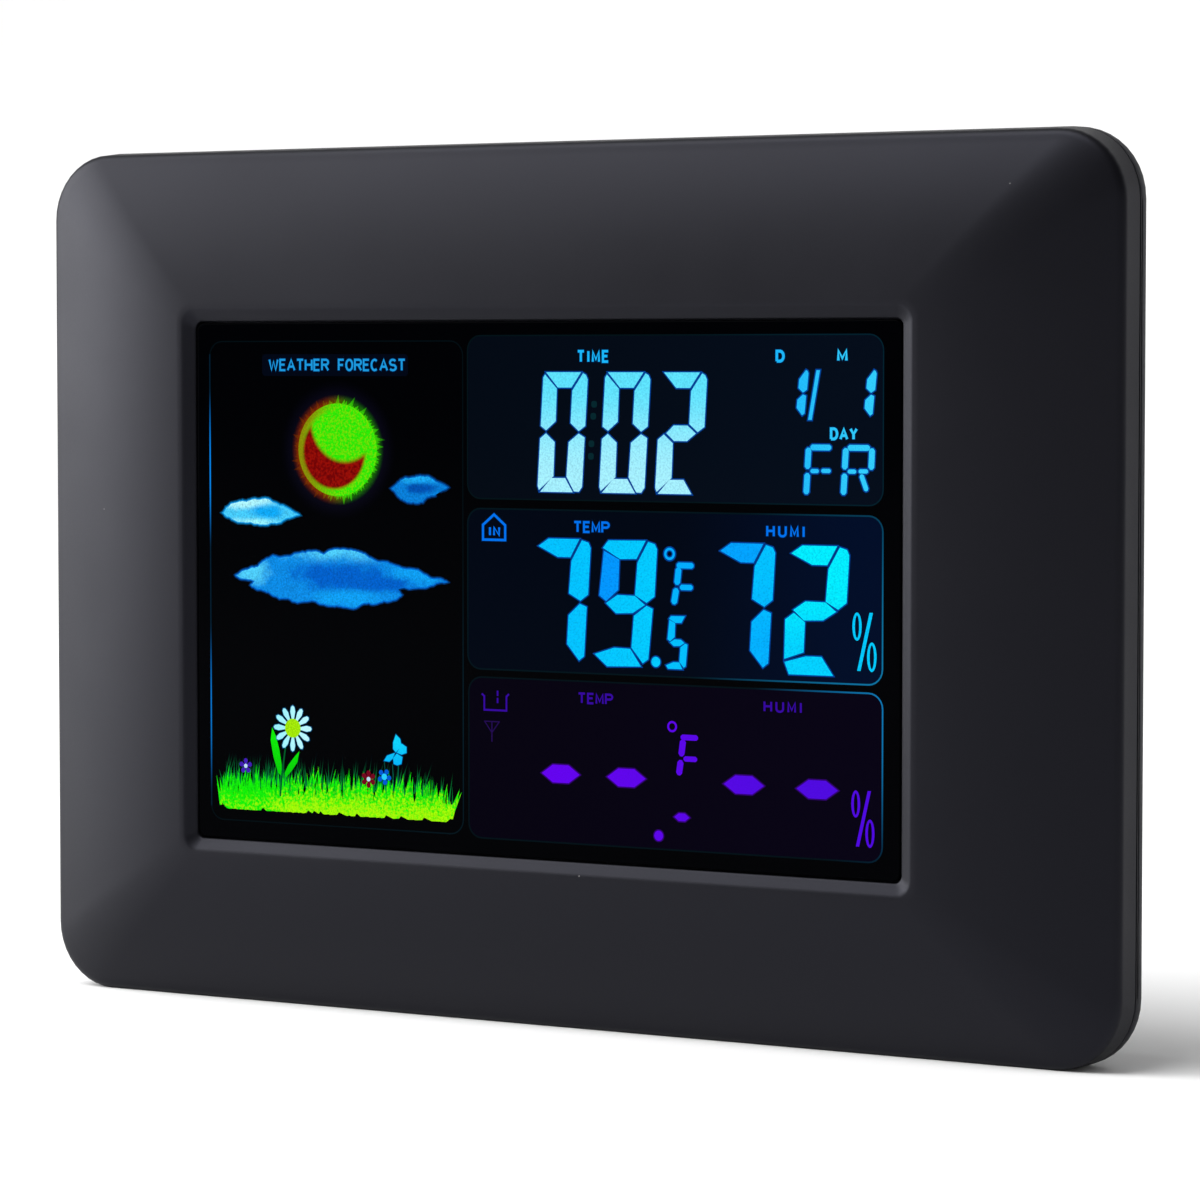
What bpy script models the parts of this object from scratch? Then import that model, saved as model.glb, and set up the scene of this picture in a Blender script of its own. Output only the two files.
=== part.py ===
"""Home weather station: the table display unit, built as an assembly of its real pieces.

Frame: the front faces -Y, +X is to the right of someone facing it, +Z is up. The origin is on the
surface the unit stands on, in the middle of its width and depth. Dimensions below are millimetres.
"""
import math

import bmesh
import bpy
from mathutils import Vector

MM = 0.001

# Face and window
HALF_W = 95.0          # half width of the face at its rim
FACE_H = 135.0         # height of the face at its rim
CORNER_R = 10.5        # radius of the outer corners
FLARE = 0.5            # how much the side walls spread towards the back, for mould draft
WIN_CZ = 67.2          # height of the window's centre
LIP_HALF_W = 65.0      # the ridge that frames the window
LIP_HALF_H = 43.1
LENS_HALF_W = 62.6
LENS_HALF_H = 40.7
CELL_GAP = 0.4         # slit round the window pane

# Depth stations, front to back
Y_RIDGE = -14.0        # highest line of the pillow-shaped face
Y_RIM = -8.0           # where the face meets the side wall
Y_SPLIT = -3.1         # back edge of the front frame
Y_COVER = -2.7         # front edge of the rear cover
Y_PCB = -0.1           # back side of the main board
Y_PLATE_IN = 12.0
Y_BACK = 14.0

# Battery bay, stand, keys
BAY_Z = 80.0
CELL_PITCH = 11.0
CELL_R = 5.25
CELL_Y = 6.95
HINGE_Y, HINGE_Z = 12.2, 52.0
KEY_X = -58.0
KEY_ZS = (38.0, 50.0, 62.0, 74.0, 86.0, 98.0)
KEY_NAMES = ("key_set", "key_up", "key_down", "key_channel", "key_alert", "key_units")
SNOOZE_Y = 2.2
JACK_X, JACK_Z = 56.0, 36.0
SCREW_SPOTS = ((-73.0, 11.0), (73.0, 11.0), (-73.0, 113.0), (73.0, 113.0))
BOARD_SCREWS = ((-67.0, 38.0), (67.0, 38.0), (-67.0, 98.0), (67.0, 98.0))

AXES = {"X": (1, 2, 0), "Y": (0, 2, 1), "Z": (0, 1, 2)}  # places of (u, v, w) for a loft along an axis


def clear_scene():
    for old in list(bpy.data.objects):
        bpy.data.objects.remove(old, do_unlink=True)


def collection(name):
    made = bpy.data.collections.new(name)
    bpy.context.scene.collection.children.link(made)
    return made


def material(name, colour, roughness, metallic=0.0):
    mat = bpy.data.materials.new(name)
    mat.use_nodes = True
    shader = mat.node_tree.nodes["Principled BSDF"]
    shader.inputs["Base Color"].default_value = (*colour, 1.0)
    shader.inputs["Roughness"].default_value = roughness
    shader.inputs["Metallic"].default_value = metallic
    return mat


def rect(u0, u1, v0, v1, radius, w, steps=3):
    """A rounded rectangle at depth w, as points (u, v, w)."""
    corners = ((u1, v1, 0), (u0, v1, 90), (u0, v0, 180), (u1, v0, 270))
    points = []
    for u, v, start in corners:
        cu = u - math.copysign(radius, u - (u0 + u1) / 2)
        cv = v - math.copysign(radius, v - (v0 + v1) / 2)
        for k in range(steps + 1):
            a = math.radians(start + 90 * k / steps)
            points.append((cu + radius * math.cos(a), cv + radius * math.sin(a), w))
    return points


def square(half_u, half_v, radius, w, cu=0.0, cv=0.0, steps=3):
    return rect(cu - half_u, cu + half_u, cv - half_v, cv + half_v, radius, w, steps)


def circle(radius, w, cu=0.0, cv=0.0, steps=3):
    return square(radius, radius, radius * 0.9999, w, cu, cv, steps)


def new_object(name, mesh, coll, mat, origin):
    """An object whose own origin is at the given place, with the mesh kept where it was modelled."""
    at = Vector(origin) * MM
    for vertex in mesh.vertices:
        vertex.co -= at
    if mat:
        mesh.materials.append(mat)
    made = bpy.data.objects.new(name, mesh)
    made.location = at
    coll.objects.link(made)
    return made


def loft(name, rings, coll, mat=None, axis="Y", origin=None, closed=False):
    """Skin a row of rings with equal point counts. Open rows get a cap at each end."""
    place = AXES[axis]
    bm = bmesh.new()
    rows = []
    for ring in rings:
        row = []
        for point in ring:
            co = [0.0, 0.0, 0.0]
            for value, slot in zip(point, place):
                co[slot] = value * MM
            row.append(bm.verts.new(co))
        rows.append(row)
    pairs = list(zip(rows, rows[1:])) + ([(rows[-1], rows[0])] if closed else [])
    for a, b in pairs:
        for i in range(len(a)):
            j = (i + 1) % len(a)
            bm.faces.new((a[i], a[j], b[j], b[i]))
    if not closed:
        bm.faces.new(rows[0])
        bm.faces.new(list(reversed(rows[-1])))
    bmesh.ops.recalc_face_normals(bm, faces=bm.faces)
    mesh = bpy.data.meshes.new(name)
    bm.to_mesh(mesh)
    bm.free()
    if origin is None:
        low = [min(v.co[k] for v in mesh.vertices) for k in range(3)]
        high = [max(v.co[k] for v in mesh.vertices) for k in range(3)]
        origin = [(a + b) / 2 / MM for a, b in zip(low, high)]
    return new_object(name, mesh, coll, mat, origin)


def block(name, xs, ys, zs, coll, mat=None, origin=None):
    """A plain box between two limits on each axis."""
    bm = bmesh.new()
    bmesh.ops.create_cube(bm, size=1.0)
    for v in bm.verts:
        for k, (low, high) in enumerate((xs, ys, zs)):
            v.co[k] = (low if v.co[k] < 0 else high) * MM
    mesh = bpy.data.meshes.new(name)
    bm.to_mesh(mesh)
    bm.free()
    centre = [(a + b) / 2 for a, b in (xs, ys, zs)]
    return new_object(name, mesh, coll, mat, origin or centre)


def rod(name, radius, start, length, coll, mat=None, axis="Y", steps=3):
    """A plain cylinder from a start point along an axis."""
    u, v, w = (start[slot] for slot in AXES[axis])
    rings = [circle(radius, w, u, v, steps), circle(radius, w + length, u, v, steps)]
    return loft(name, rings, coll, mat, axis)


def combine(target, tool, how):
    mod = target.modifiers.new(f"{how.lower()} {tool.name}", "BOOLEAN")
    mod.operation = how
    mod.solver = "EXACT"
    mod.object = tool
    tool.hide_render = True
    tool.display_type = "WIRE"


def cut(target, tool):
    combine(target, tool, "DIFFERENCE")


def fuse(target, tool):
    combine(target, tool, "UNION")


def wire(name, points, radius, coll, mat):
    """An insulated wire along a smooth path, made a closed mesh."""
    curve = bpy.data.curves.new(name + "_path", "CURVE")
    curve.dimensions = "3D"
    spline = curve.splines.new("BEZIER")
    spline.bezier_points.add(len(points) - 1)
    for knot, point in zip(spline.bezier_points, points):
        knot.co = Vector(point) * MM
        knot.handle_left_type = knot.handle_right_type = "AUTO"
    curve.bevel_depth = radius * MM
    curve.bevel_resolution = 1
    curve.resolution_u = 5
    curve.use_fill_caps = True
    path = bpy.data.objects.new(name + "_path", curve)
    coll.objects.link(path)
    bpy.context.view_layer.update()
    seen = path.evaluated_get(bpy.context.evaluated_depsgraph_get())
    mesh = bpy.data.meshes.new_from_object(seen)
    bpy.data.objects.remove(path)
    bm = bmesh.new()
    bm.from_mesh(mesh)
    bmesh.ops.remove_doubles(bm, verts=bm.verts, dist=1e-6)
    bmesh.ops.recalc_face_normals(bm, faces=bm.faces)
    bm.to_mesh(mesh)
    bm.free()
    mesh.materials.clear()
    return new_object(name, mesh, coll, mat, points[0])


def face_depth(t):
    """Depth of the convex face, from its rim (t = 0) to the ridge round the window (t = 1)."""
    return Y_RIM - 0.05 + (Y_RIDGE - Y_RIM + 0.05) * (1.8 * t - 0.8 * t * t)


def lip(half_w, half_h, radius, y):
    return rect(-half_w, half_w, WIN_CZ - half_h, WIN_CZ + half_h, radius, y, 5)


def build_front_bezel(coll, cutters, mats):
    """Hollow frame: side wall, convex face, ridge, window recess with a ledge, screw bosses."""
    back = HALF_W + FLARE
    top = FACE_H + FLARE
    outer = [
        rect(-back, back, 0, top, CORNER_R, Y_SPLIT, 5),
        rect(-HALF_W - 0.2, HALF_W + 0.2, 0, FACE_H + 0.2, CORNER_R, Y_RIM + 1.6, 5),
        rect(-HALF_W + 0.2, HALF_W - 0.2, 0.3, FACE_H - 0.2, CORNER_R - 0.3, Y_RIM + 0.55, 5),
    ]
    face = []
    rim = (HALF_W - 0.7, 0.75, FACE_H - 0.7, CORNER_R - 0.8)
    ridge = (LIP_HALF_W, WIN_CZ - LIP_HALF_H, WIN_CZ + LIP_HALF_H, 2.4)
    for k in range(7):
        t = k / 6
        w, z0, z1, r = (a + (b - a) * t for a, b in zip(rim, ridge))
        face.append(rect(-w, w, z0, z1, r, face_depth(t), 5))
    pane_w, pane_h = LENS_HALF_W + CELL_GAP, LENS_HALF_H + CELL_GAP
    window = [
        lip(pane_w + 0.1, pane_h + 0.1, 1.3, -13.15),
        lip(pane_w, pane_h, 1.2, -12.95),
        lip(pane_w, pane_h, 1.2, -11.1),
        lip(60.5, 38.5, 1.0, -11.1),
        lip(60.5, 38.5, 1.0, -9.3),
        lip(67.0, 45.0, 2.0, -9.3),
        lip(67.0, 45.0, 2.0, -11.6),
        rect(-80, 80, 14.0, 121.5, 4.0, -10.0, 5),
        rect(-92.5, 92.5, 2.6, 132.4, 8.3, -6.4, 5),
        rect(-93.2, 93.2, 2.1, 133.2, 8.6, Y_SPLIT, 5),
    ]
    bezel = loft("front_bezel", outer + face + window, coll, mats["shell"],
                 origin=(0, Y_RIM, 0), closed=True)
    for k, (x, z) in enumerate(SCREW_SPOTS):
        start = -9.0 if z < 60 else -10.6
        fuse(bezel, rod(f"boss_{k}", 3.6, (x, start, z), 1.2 - start, cutters))
        cut(bezel, rod(f"boss_pilot_{k}", 1.4, (x, -7.0, z), 10.0, cutters))
    return bezel


def build_display(coll, cutters, mats):
    """Window pane, display glass, light guide with its lamps, tray and contact strips."""
    loft("window_lens", [
        lip(LENS_HALF_W - 0.15, LENS_HALF_H - 0.15, 1.1, -12.9),
        lip(LENS_HALF_W, LENS_HALF_H, 1.1, -12.75),
        lip(LENS_HALF_W, LENS_HALF_H, 1.1, -11.3),
    ], coll, mats["lens"])
    block("lcd_panel", (-62.0, 62.0), (-9.0, -6.8), (WIN_CZ - 40, WIN_CZ + 40), coll, mats["lcd"])
    block("light_guide", (-61.0, 61.0), (-6.5, -3.5), (WIN_CZ - 35, WIN_CZ + 35), coll, mats["guide"])
    for k, z in enumerate((WIN_CZ - 18, WIN_CZ + 18)):
        block(f"backlight_led_{k + 1}", (-62.15, -61.3), (-5.9, -4.1), (z - 1.8, z + 1.8),
              coll, mats["led"])
    tray = loft("display_tray", [
        lip(65.0, 43.0, 2.0, -2.0), lip(65.0, 43.0, 2.0, -9.0),
        lip(62.5, 40.5, 0.8, -9.0), lip(62.5, 40.5, 0.8, -3.2),
    ], coll, mats["white"])
    for k, (x, z) in enumerate(BOARD_SCREWS):
        fuse(tray, rod(f"tray_ear_{k}", 2.8, (x, -8.0, z), 6.0, cutters))
        cut(tray, rod(f"tray_pilot_{k}", 1.0, (x, -6.6, z), 6.0, cutters))
    for side, z in (("lower", WIN_CZ - 37), ("upper", WIN_CZ + 37)):
        block(f"contact_strip_{side}", (-48, 48), (-6.5, -2.0), (z - 0.9, z + 0.9),
              coll, mats["rubber"])
        cut(tray, block(f"tray_slot_{side}", (-49, 49), (-3.6, -1.0), (z - 1.4, z + 1.4), cutters))


def tact_switch(name, at, coll, mat, axis):
    """A push switch on a board: square body with a round plunger, w counted from the board."""
    cu, cv, w = at
    return loft(name, [
        square(3.0, 3.0, 0.4, w, cu, cv), square(3.0, 3.0, 0.4, w + 3.6, cu, cv),
        circle(1.7, w + 3.6, cu, cv), circle(1.7, w + 5.2, cu, cv),
    ], coll, mat, axis)


def build_boards(coll, cutters, mats):
    """Main board with what is soldered on it, the radio and its aerial, and the top key's board."""
    board = block("main_board", (-70.0, 70.0), (Y_PCB - 1.6, Y_PCB),
                  (WIN_CZ - 39, WIN_CZ + 39), coll, mats["pcb"])
    for k, (x, z) in enumerate(BOARD_SCREWS):
        cut(board, rod(f"board_hole_{k}", 1.3, (x, -3.0, z), 4.0, cutters))
        loft(f"board_screw_{k + 1}", [
            circle(0.5, -5.6, x, z, 2), circle(0.75, -5.0, x, z, 2), circle(0.75, 0.2, x, z, 2),
            circle(2.2, 0.2, x, z, 2), circle(2.0, 1.5, x, z, 2), circle(1.2, 1.9, x, z, 2),
        ], coll, mats["steel"])
    on = Y_PCB + 0.3
    loft("controller_blob", [circle(6.0, on, -12, 45), circle(5.6, on + 0.8, -12, 45),
                             circle(4.0, on + 1.5, -12, 45), circle(1.5, on + 1.9, -12, 45)],
         coll, mats["epoxy"])
    loft("clock_crystal", [circle(1.4, 5.0, 1.7, 45, 2), circle(1.4, 11.4, 1.7, 45, 2)],
         coll, mats["can"], axis="X")
    loft("power_capacitor", [circle(3.0, on, 40, 46), circle(3.1, on + 0.8, 40, 46),
                             circle(3.1, on + 6.6, 40, 46), circle(2.6, on + 7.0, 40, 46)],
         coll, mats["capacitor"])
    loft("alarm_buzzer", [
        circle(7.0, on, 42, 66), circle(7.0, on + 3.6, 42, 66), circle(6.6, on + 4.0, 42, 66),
        circle(1.3, on + 4.0, 42, 66), circle(1.3, on + 2.8, 42, 66),
    ], coll, mats["black"])
    loft("radio_module", [
        rect(40, 58, 84, 98, 0.4, on), rect(40, 58, 84, 98, 0.4, on + 1.0),
        rect(42, 56, 86, 96, 0.6, on + 1.0), rect(42, 56, 86, 96, 0.6, on + 2.8),
    ], coll, mats["can"])
    wire("radio_aerial", [(49, 2.0, 98.6), (49.3, 2.2, 110), (46, 2.6, 119), (36, 2.8, 123),
                          (22, 2.8, 123.6)], 0.5, coll, mats["wire_grey"])
    loft("climate_sensor", [
        rect(56, 64, 55, 65, 0.6, on), rect(56, 64, 55, 65, 0.6, on + 3.4),
        rect(56.8, 63.2, 55.8, 64.2, 0.4, on + 4.0),
    ], coll, mats["white"])
    for name, z in zip(KEY_NAMES, KEY_ZS):
        tact_switch(name.replace("key", "switch"), (KEY_X, z, on), coll, mats["black"], "Y")
    block("top_board", (-15.0, 15.0), (-2.5, 5.0), (118.6, 119.8), coll, mats["pcb"])
    tact_switch("switch_snooze", (0.0, SNOOZE_Y - 0.5, 120.1), coll, mats["black"], "Z")


def build_rear_cover(coll, cutters, mats):
    """Tapered shell with battery bay, stand pocket, keyhole pocket, vents and screw posts."""
    back, top = HALF_W + FLARE, FACE_H + FLARE
    outline = ((Y_COVER, 0, 0, 0), (-2.1, 0, 0, 0), (0.0, 1.5, 0.05, 0), (6.0, 8.2, 0.3, 0),
               (11.4, 13.2, 5.4, 0), (13.3, 14.8, 8.4, 0.4), (Y_BACK, 15.8, 10.0, 1.3))
    outer = [rect(-back + s, back - s, b, top - t, CORNER_R, y, 5) for y, s, t, b in outline]
    inner = [rect(-w, w, z0, z1, 8.4, y, 5) for y, w, z0, z1 in (
        (Y_PLATE_IN, 78.6, 2.4, 124.0), (10.8, 80.4, 2.0, 127.4), (5.4, 86.0, 2.0, 132.9),
        (0.2, 92.2, 2.0, 133.3), (-2.2, 93.2, 2.0, 133.3))]
    tongue = [rect(-w, w, z0, z1, 7.4, y, 5) for w, z0, z1, y in (
        (91.0, 4.2, 130.9, -2.2), (91.0, 4.2, 130.9, -5.0), (92.4, 2.8, 132.3, -5.0),
        (92.6, 2.6, 132.5, Y_COVER))]
    cover = loft("rear_cover", outer[::-1] + tongue[::-1] + inner[::-1], coll, mats["shell"],
                 origin=(0, Y_BACK, WIN_CZ))
    # battery bay with a rebate for its door
    fuse(cover, block("bay_walls", (-27.7, 27.7), (0.2, 13.0), (BAY_Z - 17.8, BAY_Z + 17.8), cutters))
    fuse(cover, block("bay_rim", (-31.8, 31.8), (10.6, 13.0), (BAY_Z - 21.8, BAY_Z + 21.8), cutters))
    cut(cover, block("bay_space", (-26.5, 26.5), (1.4, 15.0), (BAY_Z - 16.6, BAY_Z + 16.6), cutters))
    cut(cover, loft("door_rebate", [square(30.5, 20.5, 1.8, y, 0, BAY_Z) for y in (12.3, 15.0)],
                    cutters))
    cut(cover, loft("door_finger_dip", [
        square(7.0, 2.4, 1.5, 12.6, 0, BAY_Z + 21.5), square(8.0, 3.4, 1.8, 15.0, 0, BAY_Z + 21.5),
    ], cutters))
    # pocket for the folding stand, open at the bottom edge, with its hinge holes
    fuse(cover, block("stand_walls", (-32.4, 32.4), (9.0, 13.0), (0.6, 56.0), cutters))
    cut(cover, block("stand_space", (-31.2, 31.2), (10.2, 15.0), (-1.0, 54.8), cutters))
    cut(cover, rod("hinge_holes", 1.5, (-33.4, HINGE_Y, HINGE_Z), 66.8, cutters, axis="X"))
    # keyhole for hanging on a wall screw
    fuse(cover, block("keyhole_walls", (-7.6, 7.6), (5.6, 13.0), (101.8, 121.2), cutters))
    cut(cover, block("keyhole_space", (-6.4, 6.4), (6.8, Y_PLATE_IN), (103.0, 120.0), cutters))
    cut(cover, rod("keyhole_head", 4.4, (0, 10.0, 108.2), 6.0, cutters, steps=4))
    cut(cover, rod("keyhole_end", 2.2, (0, 10.0, 116.0), 6.0, cutters, steps=4))
    cut(cover, block("keyhole_neck", (-2.2, 2.2), (10.0, 16.0), (110.0, 116.0), cutters))
    # screw posts
    for k, (x, z) in enumerate(SCREW_SPOTS):
        fuse(cover, rod(f"post_{k}", 4.3, (x, 1.5, z), 11.5, cutters))
        cut(cover, rod(f"post_head_{k}", 3.1, (x, 4.0, z), 12.0, cutters))
        cut(cover, rod(f"post_shank_{k}", 1.6, (x, 0.0, z), 5.0, cutters))
    # holes for keys, power socket and air
    for name, z in zip(KEY_NAMES, KEY_ZS):
        cut(cover, loft(f"hole_{name}", [square(4.8, 2.7, 2.69, y, KEY_X, z, 4) for y in (11.0, 15.0)],
                        cutters))
    cut(cover, loft("hole_snooze", [rect(-23.4, 23.4, SNOOZE_Y - 3.6, SNOOZE_Y + 3.6, 1.4, z)
                                    for z in (130.0, 138.0)], cutters, axis="Z"))
    cut(cover, rod("hole_jack", 4.3, (JACK_X, 11.0, JACK_Z), 5.0, cutters, steps=4))
    slot = block("air_slot", (50.0, 68.0), (11.0, 15.0), (50.0, 52.0), cutters)
    rows = slot.modifiers.new("rows", "ARRAY")
    rows.count = 6
    rows.use_relative_offset = False
    rows.use_constant_offset = True
    rows.constant_offset_displace = (0, 0, 4.6 * MM)
    cut(cover, slot)
    for k, (x, z) in enumerate(SCREW_SPOTS):
        loft(f"rear_screw_{k + 1}", [
            circle(0.4, -6.0, x, z), circle(1.1, -4.6, x, z), circle(1.1, 4.3, x, z),
            circle(2.7, 4.3, x, z), circle(2.6, 5.6, x, z), circle(1.8, 6.3, x, z),
        ], coll, mats["steel"])
    return cover


def build_power(coll, mats):
    """Cells, their spring contacts, leads to the board, battery door and power socket."""
    rows = (BAY_Z + CELL_PITCH, BAY_Z, BAY_Z - CELL_PITCH)
    ways = (1, -1, 1)
    profile = ((4.9, -22.2), (CELL_R, -21.7), (CELL_R, 20.8), (4.9, 21.3), (1.9, 21.3), (1.9, 22.3))
    for k, (z, way) in enumerate(zip(rows, ways)):
        loft(f"battery_{k + 1}", [circle(r, way * x, CELL_Y, z, 4) for r, x in profile],
             coll, mats["cell"], axis="X")
    plates = (("contact_left_single", -1, (0,)), ("contact_left_double", -1, (1, 2)),
              ("contact_right_double", 1, (0, 1)), ("contact_right_single", 1, (2,)))
    for name, side, cells in plates:
        z_low = min(rows[c] for c in cells) - 4.2
        z_high = max(rows[c] for c in cells) + 4.2
        plate = loft(name, [rect(CELL_Y - 4.4, CELL_Y + 4.4, z_low, z_high, 0.8, side * x)
                            for x in (26.2, 25.7)], coll, mats["nickel"], axis="X")
        for c in cells:
            plus = ways[c] == side
            wide, tip = (2.2, 1.3) if plus else (4.0, 2.6)
            reach = 22.65 if plus else 22.55
            fuse(plate, loft(f"{name}_{c}_coil", [circle(wide, side * 26.0, CELL_Y, rows[c]),
                                                  circle(tip, side * reach, CELL_Y, rows[c])],
                             plate_tools, axis="X"))
    wire("lead_red", [(-28.3, 5.0, 91.0), (-31.5, 4.4, 92.0), (-35.0, 2.6, 92.5), (-36.5, 0.9, 92.0)],
         0.55, coll, mats["wire_red"])
    wire("lead_black", [(-28.3, 5.0, 69.0), (-31.5, 4.4, 68.0), (-35.0, 2.6, 67.5), (-36.5, 0.9, 68.0)],
         0.55, coll, mats["wire_black"])
    door = loft("battery_door", [
        square(30.1, 20.1, 1.5, 12.6, 0, BAY_Z), square(30.1, 20.1, 1.5, 13.8, 0, BAY_Z),
        square(29.9, 19.9, 1.4, Y_BACK, 0, BAY_Z),
    ], coll, mats["shell"])
    grip = block("door_grip", (-8.0, 8.0), (13.4, 15.0), (BAY_Z + 11.0, BAY_Z + 12.2), plate_tools)
    lines = grip.modifiers.new("rows", "ARRAY")
    lines.count = 3
    lines.use_relative_offset = False
    lines.use_constant_offset = True
    lines.constant_offset_displace = (0, 0, 2.4 * MM)
    cut(door, grip)
    loft("power_socket", [
        square(4.5, 4.5, 0.8, Y_PCB + 0.3, JACK_X, JACK_Z, 4), square(4.5, 4.5, 0.8, 11.4, JACK_X, JACK_Z, 4),
        circle(3.9, 11.4, JACK_X, JACK_Z, 4), circle(3.9, 13.6, JACK_X, JACK_Z, 4),
        circle(2.8, 13.6, JACK_X, JACK_Z, 4), circle(2.8, 4.0, JACK_X, JACK_Z, 4),
        circle(1.0, 4.0, JACK_X, JACK_Z, 4), circle(1.0, 12.4, JACK_X, JACK_Z, 4),
    ], coll, mats["black"])


def build_stand(coll, mats):
    """Folding leg: a flat blade with a hinge barrel and two moulded pins."""
    leg = loft("stand_leg", [
        rect(-29.0, 29.0, 0.8, 50.6, 2.0, 10.8), rect(-29.0, 29.0, 0.8, 50.6, 2.0, 13.4),
        rect(-28.7, 28.7, 1.1, 50.6, 1.7, 13.7),
    ], coll, mats["shell"], origin=(0, HINGE_Y, HINGE_Z))
    fuse(leg, rod("stand_barrel", 1.6, (-29.0, HINGE_Y, HINGE_Z), 58.0, plate_tools, axis="X", steps=4))
    fuse(leg, rod("stand_pins", 1.15, (-32.2, HINGE_Y, HINGE_Z), 64.4, plate_tools, axis="X"))
    cut(leg, block("stand_grip", (-9.0, 9.0), (12.6, 15.0), (5.0, 8.4), plate_tools))
    return leg


def build_keys(coll, mats):
    """Six keys on the back and the snooze and light bar on the top edge."""
    for name, z in zip(KEY_NAMES, KEY_ZS):
        loft(name, [
            square(1.5, 1.5, 0.5, 6.5, KEY_X, z), square(1.5, 1.5, 0.5, 9.4, KEY_X, z),
            square(6.0, 3.8, 1.2, 9.4, KEY_X, z), square(6.0, 3.8, 1.2, 10.8, KEY_X, z),
            square(4.5, 2.4, 2.39, 10.8, KEY_X, z), square(4.5, 2.4, 2.39, 14.1, KEY_X, z),
            square(4.2, 2.1, 2.09, 14.4, KEY_X, z),
        ], coll, mats["key"], origin=(KEY_X, Y_BACK, z))
    y = SNOOZE_Y
    loft("key_snooze_light", [
        square(2.0, 2.0, 0.5, 126.4, 0, y - 0.5), square(2.0, 2.0, 0.5, 130.4, 0, y - 0.5),
        square(24.6, 4.0, 1.0, 130.4, 0, y), square(24.6, 4.0, 1.0, 131.7, 0, y),
        square(23.0, 3.2, 1.1, 131.7, 0, y), square(23.0, 3.2, 1.1, 134.95, 0, y),
        square(22.7, 2.9, 1.0, 135.2, 0, y),
    ], coll, mats["key"], axis="Z", origin=(0, y, 135.5))


clear_scene()
station = collection("home_weather_station")
cut_tools = collection("cutters")
plate_tools = collection("piece_tools")
MATS = {
    "shell": material("shell_plastic", (0.022, 0.022, 0.025), 0.55),
    "key": material("key_plastic", (0.030, 0.030, 0.033), 0.60),
    "lens": material("window_pane", (0.006, 0.008, 0.014), 0.06),
    "lcd": material("display_glass", (0.010, 0.012, 0.022), 0.10),
    "guide": material("light_guide", (0.75, 0.80, 0.85), 0.20),
    "led": material("lamp_white", (0.95, 0.93, 0.80), 0.40),
    "white": material("white_plastic", (0.80, 0.80, 0.78), 0.50),
    "rubber": material("contact_rubber", (0.45, 0.38, 0.33), 0.80),
    "pcb": material("board_green", (0.02, 0.16, 0.06), 0.45),
    "steel": material("screw_steel", (0.55, 0.55, 0.57), 0.35, 1.0),
    "epoxy": material("epoxy_black", (0.012, 0.012, 0.012), 0.25),
    "can": material("metal_can", (0.70, 0.70, 0.68), 0.30, 1.0),
    "capacitor": material("capacitor_sleeve", (0.02, 0.03, 0.12), 0.35),
    "black": material("black_plastic", (0.02, 0.02, 0.02), 0.45),
    "cell": material("battery_jacket", (0.12, 0.13, 0.15), 0.30),
    "nickel": material("contact_nickel", (0.75, 0.72, 0.66), 0.28, 1.0),
    "wire_red": material("wire_red", (0.55, 0.03, 0.03), 0.45),
    "wire_black": material("wire_black", (0.02, 0.02, 0.02), 0.45),
    "wire_grey": material("wire_grey", (0.30, 0.30, 0.32), 0.45),
}
build_front_bezel(station, cut_tools, MATS)
build_display(station, cut_tools, MATS)
build_boards(station, cut_tools, MATS)
build_rear_cover(station, cut_tools, MATS)
build_power(station, MATS)
build_stand(station, MATS)
build_keys(station, MATS)
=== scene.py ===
# %% [markdown]
# # Home weather station
# A black picture-frame case holds a glossy colour display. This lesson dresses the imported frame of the
# unit: first the camera, floor and lights, then the finishes, the case, the back and, last, the
# glowing picture. The frame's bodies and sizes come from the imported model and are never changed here.

# %% Load the frame
import math
import random

import bmesh
import bpy
from mathutils import Matrix, Vector


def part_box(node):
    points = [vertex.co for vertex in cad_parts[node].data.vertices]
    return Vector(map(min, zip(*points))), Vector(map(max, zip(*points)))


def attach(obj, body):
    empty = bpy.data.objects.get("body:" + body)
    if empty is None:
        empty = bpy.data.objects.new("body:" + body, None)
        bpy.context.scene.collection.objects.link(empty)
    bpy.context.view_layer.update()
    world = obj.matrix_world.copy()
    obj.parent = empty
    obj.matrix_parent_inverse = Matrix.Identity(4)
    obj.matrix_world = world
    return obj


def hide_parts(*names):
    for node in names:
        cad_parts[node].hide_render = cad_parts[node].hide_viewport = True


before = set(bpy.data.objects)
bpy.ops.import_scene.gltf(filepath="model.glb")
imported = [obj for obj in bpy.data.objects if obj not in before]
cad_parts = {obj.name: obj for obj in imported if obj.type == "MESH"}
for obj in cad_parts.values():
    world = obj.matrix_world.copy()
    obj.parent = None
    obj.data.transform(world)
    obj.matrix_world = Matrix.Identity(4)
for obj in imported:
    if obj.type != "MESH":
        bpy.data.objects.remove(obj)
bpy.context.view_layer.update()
MM = 0.001

# %% [markdown]
# ## Camera
# The unit is seen from its right, a little above its middle, through a long lens. A long lens far away
# keeps the two ends of the frame close in height. The camera is level but for three degrees of tilt.

# %% Camera
cam_data = bpy.data.cameras.new("view_camera")
cam_data.sensor_width = 36.0
cam_data.lens = 137.17
cam_data.clip_start, cam_data.clip_end = 0.05, 20.0
camera = bpy.data.objects.new("view_camera", cam_data)
camera.location = (0.3662, -0.6003, 0.1019)
camera.rotation_euler = (math.radians(90 - 2.989), 0.0, math.radians(31.10))
bpy.context.scene.collection.objects.link(camera)
bpy.context.scene.camera = camera
print("lens", cam_data.lens, "mm, distance", round(camera.location.length, 3), "m")

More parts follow.
